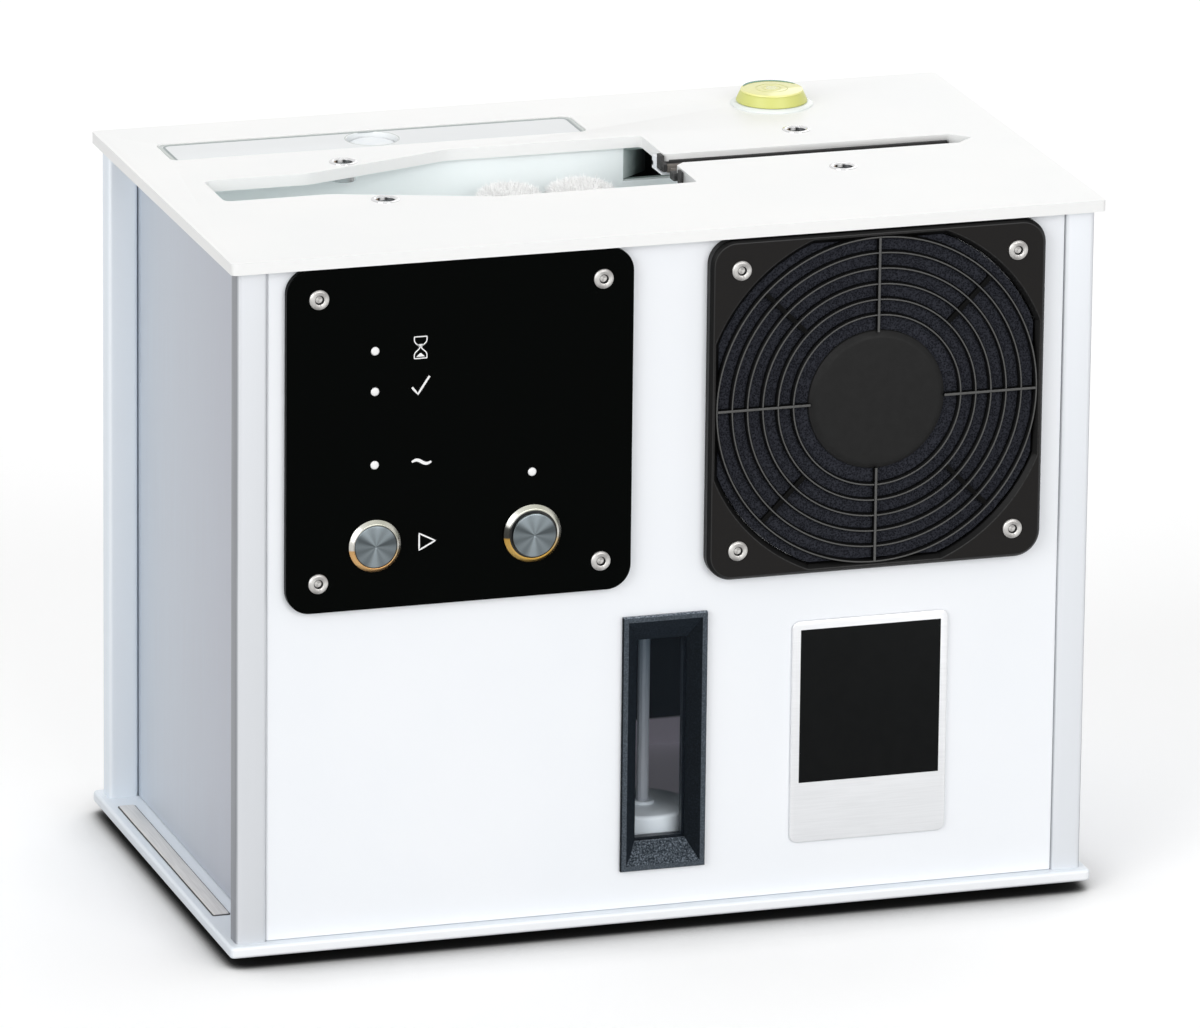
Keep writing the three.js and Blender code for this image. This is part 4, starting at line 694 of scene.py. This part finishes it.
def symbols():
    """Printed signs: an hourglass, a tick, a wave and a start triangle, each a line of (x, z) points."""
    x, z = -93.9, 227.0
    turn = np.linspace(0, 1, 41)
    waist = 2.35 - 2.0 * np.sin(math.pi * turn) ** 6
    right = np.stack([x + waist, z - 4 + 8 * turn], -1)
    left = np.stack([x - waist, z - 4 + 8 * turn], -1)[::-1]
    stroke("sign_hourglass", np.concatenate([right, left]), 0.38, closed=True)
    heap = np.linspace(-3.4, -2.1, 5)
    stroke("sign_sand", np.stack([np.full(5, x), z + heap], -1), 3.2 * (1 - (heap + 3.4) / 1.5))
    fill = np.linspace(-0.1, 1.2, 5)
    stroke("sign_sand_top", np.stack([np.full(5, x), z + fill], -1), 0.3 + 1.9 * (fill + 0.1))
    tick = [(-3.2, 0.2), (-2.0, -1.2), (-1.0, -2.4), (0.2, -0.6), (1.7, 1.7), (3.3, 4.0)]
    stroke("sign_tick", np.array(tick) + (-93.8, 212.2), 0.75)
    share = np.linspace(-1, 1, 33)
    wave = np.stack([-93.3 + 3.6 * share, 184.6 + 0.75 * np.sin(share * math.pi * 0.95) * -1], -1)
    stroke("sign_wave", wave, 1.15 - 0.5 * np.abs(share) ** 3)
    corners = np.array([(-3.0, -3.1), (3.0, 0.0), (-3.0, 3.1)]) + (-91.0, 154.8)
    edge = np.linspace(corners, np.roll(corners, -1, 0), 8, endpoint=False, axis=1).reshape(-1, 2)
    stroke("sign_start", edge, 0.55, closed=True)


def plated_ring_painted_reflection(name, centre, painted_shade_west):
    """Bright plating with a painted reflection: silver above, and a warm painted reflection under a sharp
    line on the lower half; on the raised button, painted shade on its left side.
    """
    silver = (0.6, 0.59, 0.55)
    made = Finish(name, silver, 0.24, 1.0)
    # Painted reflection and shade, set by the angle round the button's centre.
    share = made.maths("MULTIPLY_ADD", made.around(centre)[0], 1 / FULL_TURN, 0.5)
    west, warm_reflection, pale = silver, (0.62, 0.36, 0.15), (0.74, 0.46, 0.2)
    if painted_shade_west:
        west, warm_reflection, pale = (0.05, 0.05, 0.045), (0.5, 0.3, 0.07), (0.6, 0.39, 0.12)
    stops = [(0.0, west), (1.0, west), (0.012, west), (0.022, warm_reflection), (0.12, pale), (0.22, warm_reflection),
             (0.36, warm_reflection), (0.46, (0.5, 0.38, 0.22)), (0.475, (0.5, 0.46, 0.38)), (0.51, (0.7, 0.69, 0.65)),
             (0.57, (0.45, 0.45, 0.38)), (0.62, (0.66, 0.65, 0.58)), (0.7, (0.5, 0.5, 0.42)),
             (0.8, (0.6, 0.6, 0.52)), (0.9, (0.8, 0.8, 0.76)), (0.955, west)]
    made.colour_from(made.ramp(share, stops))
    return made.bumped(made.noise(500), 0.04, 0.02)


def button(name, x, z, flange, cap, rise, gap):
    """A push button: a bevelled bright ring with its sleeve, and a faced steel cap."""
    centre = np.array([x, CONTROL_FACE - 0.25, z])
    bore = cap + gap
    ring = round_corners([(bore, -9, 0), (bore, 2, 0.12), (bore + 0.35, 2.0, 0.1),
                          (flange - 1.35, 2.0, 0.35), (flange, 0.7, 0.3), (flange, 0, 0)])
    ring = np.vstack([ring, [(bore + 1.2, 0), (bore + 1.2, -9)]])
    plating = plated_ring_painted_reflection(name + " plating", centre, rise > 0)
    lathe(name + "_ring", ring, centre, plating, along=-Y, sides=96, closed=True,
          replaces=[name + "_housing"])
    seal = [(cap + 0.03, 1.5), (bore + 0.1, 1.5), (bore + 0.1, 0.9), (cap + 0.03, 0.9)]
    lathe(name + "_seal", seal, centre, DARK_LINE, along=-Y, sides=96, closed=True)
    front = 2 + rise
    head = [(0, front - 0.12, 0), (0.5, front - 0.12, 0.1), (0.7, front, 0.1), (cap, front, 0.45),
            (cap, -3, 0), (0, -3, 0)]
    lobes = ((2, math.pi, 0.7), (8, 0.9, 0.5), (5, 2.0, 0.35))
    steel = face_turned_painted_reflection(name + " steel", (0.075, 0.088, 0.094), (0.26, 0.3, 0.32), centre, 0.32, lobes)
    body = name + "_cap"
    lathe(body + "_steel", head, centre, steel, along=-Y, sides=96, body=body, replaces=[body])


def control_panel():
    """The black plate with eased edges, its screws, lamps, signs and buttons."""
    holes = [(START_X, BUTTON_Z, 12), (POWER_X, BUTTON_Z, 12)] + [(x, z, 3) for x, z in LAMPS]

    def share(middle):
        """Edges of the front face, apart from those of the buttons' and lamps' holes."""
        near = any(math.hypot(middle.x - x, middle.z - z) < radius for x, z, radius in holes)
        return abs(middle.y - CONTROL_FACE) < 0.05 and not near

    softened("control_plate_black", "control_plate", GLOSS_BLACK, 0.35, share)
    for number, (x, z) in enumerate([(x, z) for z in (247.4, 142.2) for x in (-131.6, -26.0)]):
        screw(f"control_screw_{number}", x, CONTROL_FACE, z, -Y)
    dome = [(0, 0.45, 0), (1.1, 0.4, 0.6), (1.55, 0.0, 0.2), (1.55, -1.5, 0), (0, -1.5, 0)]
    for number, (x, z) in enumerate(LAMPS):
        lathe(f"lamp_{number}", dome, (x, CONTROL_FACE, z), LAMP_WHITE, along=-Y, sides=32)
    symbols()
    button("start_button", START_X, BUTTON_Z, 9.75, 7.85, 0.0, 0.12)
    button("power_button", POWER_X, BUTTON_Z, 10.8, 8.1, 1.5, 0.75)


# Fan guards


def square_reach(turn, half, corner):
    """Distance to a rounded square at each angle: flat sides, then the corner circle the ray meets."""
    c, s = np.abs(np.cos(turn)), np.abs(np.sin(turn))
    flat = half / np.maximum(c, s)
    inner = half - corner
    inside = np.maximum(inner**2 * (c + s) ** 2 - 2 * inner**2 + corner**2, 0)
    arc = inner * (c + s) + np.sqrt(inside)
    return np.where(flat * np.minimum(c, s) > inner, arc, flat)


def guard(end, sign):
    """The fan guard: a square frame with a round opening, ring bars, spokes and a domed hub."""
    out = sign * Y
    half_side, corner, first_ring, pitch, screw_reach = 63.62, 9.5, 31.8, 5.8, 52.4
    centre = np.array([FAN_X, 0, FAN_Z])
    turn, across = circle(720, X, Z)
    squared = np.maximum(np.abs(np.cos(turn)), np.abs(np.sin(turn)))
    outer = [(0, GUARD_BACK - GUARD_FRONT), (0, -1.6), (0.5, -0.8), (1.1, -0.15), (1.45, 0)]
    inner = [(2.0, 0), (1.6, -0.12), (0.25, -1.5), (0, -1.9), (0, GUARD_BACK - GUARD_FRONT)]
    rings = [(square_reach(turn, half_side - inset, corner - inset), height) for inset, height in outer]
    rings += [(np.minimum(65.0 + grow, (60.0 + grow) / squared), height) for grow, height in inner]
    rows = [radius[:, None] * across + centre + (GUARD_FRONT + height) * out for radius, height in rings]
    piece(f"{end}_guard_frame", np.stack(rows), quads(len(rows), len(turn), wrap_rows=True),
          guard_frame_painted_light(end), replaces=[f"{end}_fan_guard"], smooth=12)
    bar = [(-0.7, -4.6, 0), (-0.7, -0.9, 0.1), (-0.24, 0, 0.1), (0.24, 0, 0.1), (0.7, -0.9, 0.1),
           (0.7, -4.6, 0)]
    for number in range(6):
        section = round_corners(bar, 4) + (first_ring + pitch * number, GUARD_FRONT - 0.25)
        lathe(f"{end}_guard_ring_{number}", section, centre, GUARD_BARS_PAINTED_LIGHT, along=out, sides=160, closed=True)
    for number in range(8):
        straight = number < 4
        degrees = number % 4 * 90 + (0 if straight else 45)
        start, stop = (25.5, 60.6) if straight else (37.5, 60.8)
        half, top, colour = (0.5, 0.1, GUARD_BARS_PAINTED_LIGHT) if straight else (0.85, -0.85, GUARD_SHADE)
        corners = [(-half, -4.8, 0), (-half, top, 0.15), (half, top, 0.15), (half, -4.8, 0)]
        section = round_corners(corners, 4)
        way = math.cos(math.radians(degrees)) * X + math.sin(math.radians(degrees)) * Z
        along = np.linspace(start, stop, 6)[:, None, None]
        points = centre + along * way + section[:, :1] * np.cross(way, Y)
        points = points + (section[:, 1:] + GUARD_FRONT - 0.1) * out
        piece(f"{end}_guard_spoke_{number}", points, capped(6, len(section)), colour)
    hub = round_corners([(0, 0.5, 0), (23.6, 0.1, 3), (25.85, -1.2, 0.6), (25.85, -2.4, 0), (0, -2.4, 0)], 6)
    lathe(f"{end}_guard_hub", hub + (0, GUARD_FRONT - 0.3), centre, HUB_BLACK, along=out, sides=96)
    for number, (dx, dz) in enumerate([(dx, dz) for dz in (1, -1) for dx in (-1, 1)]):
        screw(f"{end}_guard_screw_{number}", FAN_X + dx * screw_reach, sign * GUARD_FRONT,
              FAN_Z + dz * screw_reach, out)


# Window, float, badge and base strip


def window_and_float():
    """The bezel with softened corners, and the float: a turned disc whose collar stands round the stem."""
    softened("window_bezel_slate", "window_bezel", BEZEL_PAINTED_LIGHT, 0.35, lambda middle: middle.y < -92,
             smooth=12)
    low, high = 23.75, 38.75
    profile = [(2.55, low, 0), (17.5, low, 1.5), (17.5, high, 1.5), (4.4, high, 0.3),
               (4.4, high + 1.2, 0.35), (2.55, high + 1.2, 0)]
    lathe("level_float_white", profile, (STEM_X, STEM_Y, 0), FLOAT_WHITE, sides=96, closed=True,
          body="level_float", replaces=["level_float"])


def badge():
    """A bare brushed plate with a rounded rim and a raised black field over two thirds of it."""
    plate("badge_plate_metal", ((47.99, 107.74), (27.75, 112.25)), 3, -91.75, -90.75, 0.45, UPRIGHT,
          BADGE_METAL, replaces=["badge_plate"])
    plate("badge_field", ((51.2, 104.8), (50.7, 108.9)), 0.2, -91.85, -91.5, 0.04, UPRIGHT, BADGE_BLACK)


def base_strip():
    """The strip on the base: a brushed plate in a thin dark surround."""
    (x0, x1), (y0, y1) = spans = (-159.97, -154.22), (-58, 72)
    plate("base_strip_metal", spans, 0.6, BASE_TOP, BASE_TOP + 0.6, 0.15, FLAT, STEEL,
          replaces=["base_strip"])

    def surround(inset):
        return rounded_rectangle((x1 - x0) / 2 + 0.5 - inset, (y1 - y0) / 2 + 0.6 - inset, 0.8)

    centre = (x0 + x1) / 2 * X + (y0 + y1) / 2 * Y
    slab("base_strip_surround", surround, BASE_TOP - 0.2, BASE_TOP + 0.2, 0.02, centre, FLAT, DARK_LINE)


# Top fittings


def spirit_level():
    """The bubble level: a flange, its fluid, a pale top with two rings, a bubble and a painted dark
    refraction line along the rear rim.
    """
    centre = (90, 66.5, TOP_FACE)
    flange = [(0, 0, 0), (15.3, 0, 0.1), (15.3, 0.7, 0.3), (13.9, 1.25, 0.4), (13.6, 1.25, 0), (0, 1.25, 0)]
    lathe("spirit_level_flange", flange, centre, VIAL_FLANGE, sides=96, replaces=["spirit_level"])
    fluid = [(0, 1.3, 0), (13.5, 1.3, 0.4), (11.7, 5.3, 0.5), (0, 5.3, 0)]
    lathe("spirit_level_fluid", fluid, centre, VIAL_FLUID, sides=96)
    top = [(0, 5.3, 0), (11.8, 5.3, 0.1), (11.5, 5.95, 0.3), (0, 6.0, 0)]
    lathe("spirit_level_top", top, centre, VIAL_TOP, sides=96)
    for number, radius in enumerate((3.3, 5.9)):
        ring = [(radius - 0.15, 5.9), (radius + 0.15, 5.9), (radius + 0.15, 6.03), (radius - 0.15, 6.03)]
        lathe(f"spirit_level_ring_{number}", ring, centre, VIAL_LINE, sides=64, closed=True)
    bubble = [(0, 6.25, 0), (2.0, 6.2, 0.8), (2.7, 5.95, 0.1), (0, 5.95, 0)]
    lathe("spirit_level_bubble", bubble, centre, VIAL_CLEAR, sides=48)
    # Painted refraction: a dark teal line along the rear edge of the top.
    turn = np.linspace(0.35, 2.65, 49)
    half = 0.8 * np.sin((turn - 0.35) / 2.3 * math.pi) ** 0.6 + 0.01
    corners = [(10.9 - half, 5.98), (10.9 + half, 5.95), (10.9 + half, 6.06), (10.9 - half, 6.08)]
    way = np.stack([np.cos(turn), np.sin(turn), 0 * turn], -1)
    points = np.stack([radius[:, None] * way + height * Z for radius, height in corners], 1)
    piece("spirit_level_painted_refraction_line", points + np.array(centre), capped(len(turn), 4), VIAL_RIM_REFRACTION)


def bore_painted_reflection(name, centre):
    """Polished bore with a painted reflection: light and dark bands that stand upright in it, spread by the
    angle round the bore.
    """
    made = Finish(name, 0.7, 0.25, 0.3)
    share = made.maths("MULTIPLY_ADD", made.around(centre, upright=1)[0], 1 / FULL_TURN, 0.5)
    dark, brown, pale, white = 0.03, (0.12, 0.07, 0.04), (0.45, 0.42, 0.38), 0.98
    stops = [(0.0, pale), (1.0, pale), (0.12, dark), (0.5, dark), (0.62, (0.25, 0.26, 0.27)), (0.7, dark),
             (0.735, white), (0.79, white), (0.82, dark), (0.86, brown), (0.885, (0.9, 0.7, 0.5)),
             (0.91, brown), (0.96, dark)]
    made.colour_from(made.ramp(share, stops))
    return made.bumped(made.noise(300), 0.02, 0.02)


def bushes():
    """The plated bushes: a sleeve with a soft flange and an eased bore."""
    profile = [(3.2, 256.25, 0), (4.75, 256.25, 0.2), (4.75, 263.0, 0), (5.25, 263.0, 0), (5.1, 263.3, 0.15),
               (4.5, 263.4, 0.3), (3.9, 263.4, 0.2), (3.5, 262.9, 0.2), (3.5, 261.9, 0), (3.2, 261.9, 0),
               (3.2, 256.3, 0)]
    bore = [(3.2, 260.4), (3.5, 260.5), (3.52, 262.9), (3.3, 262.95)]
    for corner, sign_x, sign_y in CORNERS:
        name = corner + "_bush"
        centre = (sign_x * BUSH_X, SLOT_Y + sign_y * BUSH_Y, 0)
        lathe(name + "_plated", profile, centre, CHROME, sides=72, closed=True, replaces=[name])
        lathe(name + "_bore", bore, centre, bore_painted_reflection(name + " bore", centre), sides=72, closed=True)


def strip(name, sign, section, material, x0, x1, **rest):
    """A section of (distance from the slot, height) carried along X in eleven steps."""
    points = [np.column_stack([np.full(len(section), x), SLOT_Y + sign * section[:, 0], section[:, 1]])
              for x in np.linspace(x0, x1, 12)]
    piece(name, np.stack(points), capped(12, len(section)), material, **rest)


def block(inner, outer, low, high, ease=0.25):
    """An oblong section with eased corners."""
    middle = (inner + outer) / 2
    return round_corners([(middle, low, 0), (outer, low, ease), (outer, high, ease), (inner, high, ease),
                          (inner, low, ease), (middle, low, 0)], 4)[:-1]


def lips():
    """Each lip: a felt blade and a rubber bar in a shallow white angle, a dark strip of painted shade at the
    slot, with a block on its left end.
    """
    left, right = 27.5, 138.95
    angle = np.array([[14.0, 15.4, 15.4, 3.8, 3.8, 14.0], [258.65, 258.65, 255.9, 255.9, 256.9, 256.9]]).T
    for end, sign in (("front", -1), ("rear", 1)):
        name = end + "_lip"
        strip(name + "_rubber", sign, block(5.2, 10.2, 257.1, 259.95, 0.4), RUBBER, left + 0.2, right,
              replaces=[name])
        # Painted shade: a dark strip along each lip's slot edge deepens the dark band in the slot.
        strip(name + "_edge", sign, block(5.3, 6.15, 258.4, 260.9), DARK_LINE, 31.0, right - 0.6)
        strip(name + "_felt", sign, block(1.0, 5.0, 257.3, 259.9, 0.8), FELT, 29.0, right - 0.6)
        strip(name + "_carrier", sign, angle, WHITE_FRONT, left if end == "rear" else 29.6, right)
    foot = round_corners([(9.7, 260, 0), (9.7, 262.7, 0.3), (5.2, 262.7, 0.3), (4.6, 260.9, 0.3),
                          (1.6, 260.4, 0.3), (1.6, 257.5, 0.3), (9.7, 257.5, 0.3), (9.7, 260, 0)], 4)[:-1]
    strip("rear_lip_end", 1, foot, RUBBER, left, 28.8)
    strip("rear_lip_end_wall", 1, block(10.0, 15.4, 257.0, 260.9, 0.15), WHITE_FRONT, left, 28.8)
    strip("front_lip_end", -1, block(13.2, 17.4, 257.2, 262.4), RUBBER, left + 0.6, 28.9)
    # Painted shade: a short dark plug stands for the shade in the pin hole.
    pin = [(0, 0, 0), (0.55, 0, 0.1), (0.55, 0.4, 0), (0, 0.4, 0)]
    lathe("rear_lip_end_hole_painted_shade", pin, (27.6, SLOT_Y + 3.7, 258.5), DARK_LINE, along=-X, sides=24)


def air_port_wall():
    """The pale wall that slants across the air port: a thin sheet with painted light at the port's edge,
    fading to painted shade at its far end.
    """
    left, back = 22.3, 38.6
    way = np.array([1, 0.825, 0]) / math.hypot(1, 0.825)
    facing = np.cross(way, Z)
    run, rise = np.meshgrid(np.linspace(0, 17, 9), np.linspace(245.7, 258.3, 5))
    sheet = np.array([left, back, 0]) + run[..., None] * way + rise[..., None] * Z
    rows, columns = run.shape
    front = np.array(quads(rows, columns, wrap_columns=False))
    count = rows * columns
    rim = np.concatenate([np.arange(columns), np.arange(2, rows) * columns - 1,
                          count - 1 - np.arange(columns), np.arange(rows - 2, 0, -1) * columns])
    after = np.roll(rim, -1)
    sides = np.stack([rim, after, after + count, rim + count], -1)
    made = Finish("air port wall, painted light and shade", (0.8, 0.88, 0.86), 0.5)
    # Painted light and shade: bright by the port's edge, darker along X, black at the far end.
    away = made.plus(made.spread(made.parts()[0], 0, 1, left * MM, (left + 12) * MM),
                     made.spread(made.noise(300), -0.03, 0.03))
    made.colour_from(made.ramp(away, [(0.0, (0.95, 1.0, 1.0)), (1.0, (0.002, 0.003, 0.003)),
                                      (0.35, (0.5, 0.57, 0.56)), (0.7, (0.08, 0.1, 0.095))]))
    piece("air_port_wall", np.stack([sheet, sheet - 0.3 * facing]),
          np.concatenate([front, front[:, ::-1] + count, sides]).tolist(), made.material, smooth=20)


def lid():
    """The clear lid with eased edges and rim lines, its finger hole and the sponge seen in it."""
    hole_at = (-67.23, 58.25, 0)
    on_lid = {"body": "filter_lid"}
    softened("filter_lid_clear", "filter_lid", LID_PALE_OVER_SHADE, 0.3,
             lambda middle: not 260.05 <= middle.z <= 262.7, **on_lid)
    hole = [(9.5, 260.2, 0), (9.5, 262.6, 0.3), (9.9, 262.85, 0.1), (10.2, 262.8, 0), (10.2, 260.2, 0)]
    lathe("filter_lid_hole_rim", hole, hole_at, LID_EDGE, sides=72, closed=True, **on_lid)
    pad = [(0, 261.7, 0), (6.5, 261.6, 3), (8.9, 260.6, 0.5), (8.9, 259.9, 0), (0, 259.9, 0)]
    lathe("filter_sponge_pad", pad, hole_at, SPONGE, sides=72)
    for number, (inset, width, material) in enumerate(((0.75, 1.3, LID_EDGE), (1.9, 0.9, SEAM_GREY))):
        x0, x1, y1 = -146.4 + inset, 11.9 - inset, 69.65 - inset
        line = round_corners([(x0, 47.0, 0), (x0, y1, 3), (x1, y1, 3), (x1, 47.0, 0)], 9)
        ribbon(f"filter_lid_line_{number}", line, width, 262.6, 262.82, FLAT, material, smooth=30, **on_lid)


# Microfibre rollers


def tufts(body, middle_line, count, seed):
    """Loose pile: short bent strands on a golden-angle spread over the roller's flank and dome."""
    golden_angle, dome_share = 2.399963, 0.42
    random = np.random.default_rng(seed)
    number = np.arange(count)
    turn = number * golden_angle
    travel = (number + 0.5) / count
    dome = np.minimum(travel / dome_share, 1.0)
    flank = np.clip((travel - dome_share) / (1 - dome_share), 0, 1)
    bend = np.minimum(dome * 1.25, 1.0)
    radius = 10.9 * np.sqrt(dome) * (1 - 0.12 * (1 - bend))
    height = 249.9 - 2.6 * dome**3 - flank * 70
    slope = np.where(flank > 0, math.pi / 2, dome**2 * 1.35)
    normal = np.stack([np.cos(turn) * np.sin(slope), np.sin(turn) * np.sin(slope), np.cos(slope)], -1)
    root = np.stack([radius * np.cos(turn), radius * np.sin(turn), height], -1)
    lean = random.normal(0, 0.55, (count, 3))
    length = random.uniform(1.1, 2.3, count)[:, None]
    tip = root + (normal + 0.5 * lean) * length
    middle = (root + tip) / 2 + 0.3 * random.normal(0, 1, (count, 3)) * length * 0.3
    first = np.cross(normal, random.normal(0, 1, (count, 3)))
    first /= np.linalg.norm(first, axis=1, keepdims=True)
    second = np.cross(normal, first)
    spin = np.arange(3) * FULL_TURN / 3
    ring = np.cos(spin)[None, :, None] * first[:, None] + np.sin(spin)[None, :, None] * second[:, None]
    rows = [root[:, None] + 0.26 * ring, middle[:, None] + 0.22 * ring, tip[:, None] + 0.08 * ring]
    points = np.stack(rows, 1) + middle_line
    one = np.array(quads(3, 3) + [[6, 7, 8, 8]])
    faces = (one[None] + 9 * number[:, None, None]).reshape(-1, 4)
    tips = faces[:, 2] == faces[:, 3]
    faces = faces[~tips].tolist() + faces[tips][:, :3].tolist()
    piece(body + "_pile", points, faces, PILE_GLOW, body=body, smooth=80)


def rollers():
    """Each roller: a soft core that swells and dips along its pile, its gear and its tufts."""
    profile = round_corners([(0, 115.25, 0), (3, 115.25, 0), (3, 148, 0), (11.2, 148, 2), (11.4, 249.2, 3.2),
                             (0, 249.6, 0)], 7)
    turn, _ = circle(96)
    for number, corner in enumerate(("front_left", "rear_left", "front_right", "rear_right")):
        name = corner + "_roller"
        middle = np.array([0.5 if "right" in corner else -27, 17.5 if "rear" in corner else -14.5, 0])
        points = turned(profile, middle, sides=96)
        height = points[..., 2]
        swell = np.sin(5 * turn + height / 3) * np.sin(height / 2.3 + number)
        wave = 1 + np.where(height > 148, 0.018, 0) * swell
        flat = (points - middle) * np.stack([wave, wave, np.ones_like(wave)], -1)
        piece(name + "_core", flat + middle, quads(*points.shape[:2]), PILE_GLOW, body=name, replaces=[name])
        gear_wheel(name, middle)
        tufts(name, middle, 13000, 40 + number)


def gear_wheel(body, middle):
    """A roller's gear: twenty-two teeth, as a radius that steps between root and tip with sloped flanks."""
    teeth, sides = 22, 22 * 12
    turn, across = circle(sides)
    phase = np.mod(turn * teeth / FULL_TURN, 1)
    radius = 12.25 + 2.4 * np.clip((0.3 - np.abs(phase - 0.5)) / 0.14, 0, 1)
    shaft = np.full(sides, 3.2)
    rings = np.stack([shaft, radius, radius, shaft])
    heights = np.array([124, 124, 131, 131])[:, None, None]
    points = rings[..., None] * across + heights * Z + middle
    piece(body + "_gear", points, quads(4, sides, wrap_rows=True), FLOAT_WHITE, body=body, smooth=25)


def splash_sensor():
    """The small level probe that reaches over the bath from its front wall: a dark bar with a pale end."""
    plate("probe_bar", ((-58.0, -52.1), (254.6, 256.3)), 0.4, -28.0, -6.2, 0.2, UPRIGHT, DARK_LINE)
    plate("probe_end", ((-52.0, -47.2), (254.6, 256.6)), 0.4, -28.0, -7.0, 0.2, UPRIGHT, MOTOR_STEEL)


# Rear fittings


def rear_fittings():
    """The barrel socket and the drain spout: turned pieces with eased edges, and a six-sided nut."""
    inlet, drain = (-109.97, 0, 40), (109.97, 0, 22)
    socket = [(3.25, 80, 0), (3.25, 93.75, 0.3), (8.2, 93.75, 0.3), (9, 93.2, 0.3), (9, 90.75, 0),
              (6, 90.75, 0), (6, 73.5, 0), (0, 73.5, 0), (0, 80, 0)]
    lathe("power_inlet_socket", socket, inlet, FAN_BLACK, along=Y, sides=72, closed=True,
          replaces=["power_inlet"])
    pin = [(0, 79.5, 0), (1, 79.5, 0), (1, 91.8, 0.5), (0, 91.8, 0)]
    lathe("power_inlet_pin", pin, inlet, CHROME, along=Y, sides=32)
    spout = [(4, 84.25, 0), (4, 98, 0.4), (7, 98, 0.6), (7, 96.6, 0.3), (6.4, 96.2, 0.2), (7, 95.6, 0.3),
             (7, 84.25, 0)]
    lathe("drain_spout", spout, drain, BRASS, along=Y, sides=72, closed=True, replaces=["drain_coupling"])
    turn, across = circle(72, Z, X)
    flat = 9.6 / np.cos(np.mod(turn, math.pi / 3) - math.pi / 6)
    bore, eased = np.full(72, 7.1), np.minimum(flat, 10.4)
    heights = np.array([90.75, 90.75, 91.1, 93.4, 93.75, 93.75])[:, None, None]
    rings = np.stack([bore, eased, flat, flat, eased, bore])
    points = rings[..., None] * across + heights * Y + np.array(drain)
    piece("drain_nut", points, quads(6, 72, wrap_rows=True), BRASS, smooth=25)


plate_edges()
posts()
feet()
control_panel()
guard("front", -1)
guard("rear", 1)
window_and_float()
badge()
base_strip()
spirit_level()
bushes()
lips()
air_port_wall()
lid()
rollers()
splash_sensor()
rear_fittings()


# Floor, light and camera


def studio():
    """A floor with a painted contact shadow near the machine, from ambient occlusion; a world white to the
    eye and to gloss, softer as light.
    """
    mesh = bpy.data.meshes.new("floor")
    mesh.from_pydata([(-4, -4, 0), (4, -4, 0), (4, 8, 0), (-4, 8, 0)], [], [(0, 1, 2, 3)])
    floor = placed("floor", mesh)
    white = Finish("floor white, painted contact shadow", 0.96, 0.9, Specular_IOR_Level=0.1, Emission_Color=(1, 1, 1, 1))
    path = white.add("ShaderNodeLightPath").outputs
    # Painted contact shadow: ambient occlusion within 4 cm darkens the floor's colour and its glow.
    open_sky = white.add("ShaderNodeAmbientOcclusion", samples=16, Distance=0.04).outputs["AO"]
    shade = white.ramp(open_sky, [(0.3, 0.01), (0.97, 1.0), (0.5, 0.22), (0.72, 0.78)])
    white.colour_from(white.times(shade, white.spread(path["Is Diffuse Ray"], 0.96, 0.5, 0, 1)))
    glow = white.times(shade, white.times(path["Is Camera Ray"], 0.12))
    white.link(glow, white.shader.inputs["Emission Strength"])
    coat(mesh, white.material)
    world = bpy.data.worlds.new("studio")
    bpy.context.scene.world = world
    world.use_nodes = True
    sky = Nodes(world.node_tree)
    path = sky.add("ShaderNodeLightPath").outputs
    seen = sky.maths("MAXIMUM", path["Is Camera Ray"], path["Is Transmission Ray"])
    seen = sky.maths("MAXIMUM", seen, path["Is Glossy Ray"])
    background = sky.tree.nodes["Background"]
    sky.link(sky.spread(seen, 0.52, 1.0, 0, 1), background.inputs["Strength"])
    background.inputs["Color"].default_value = rgba(1.0)


def soft_sun(name, toward, strength):
    """A sun 40 degrees wide that shines from the direction toward."""
    light = bpy.data.lights.new(name, "SUN")
    light.angle = math.radians(40)
    light.energy = strength
    x, y, z = np.array(toward, float) / np.linalg.norm(toward)
    placed(name, light).rotation_euler = (math.acos(z), 0, math.atan2(y, x) + math.pi / 2)


def photograph_camera():
    """The photograph's camera: a long lens, 4.3 m away, 17 degrees above the level."""
    azimuth, elevation, roll = (math.radians(value) for value in (-17.738, 16.816, 0.645))
    right = np.array([math.cos(azimuth), math.sin(azimuth), 0])
    forward = math.cos(elevation) * np.cross(Z, right) - math.sin(elevation) * Z
    up = np.cross(right, forward)
    right, up = math.cos(roll) * right + math.sin(roll) * up, math.cos(roll) * up - math.sin(roll) * right
    camera = bpy.data.cameras.new("camera")
    camera.sensor_width = 36
    camera.lens = 346.37
    camera.clip_end = 50
    made = placed("camera", camera)
    turn = np.eye(4)
    turn[:3] = np.stack([right, up, -forward, (-1.2340, -3.8691, 1.3577)], -1)
    made.matrix_world = Matrix(turn.tolist())
    bpy.context.scene.camera = made


studio()
soft_sun("key", (-0.65, -0.42, 0.32), 1.1)
soft_sun("front", (0.2, -0.85, 0.32), 1.1)
soft_sun("rear", (0.5, 0.6, 0.3), 0.35)
soft_sun("top", (0.05, 0.2, 1), 0.54)
photograph_camera()
bpy.context.scene.view_settings.view_transform = "Standard"
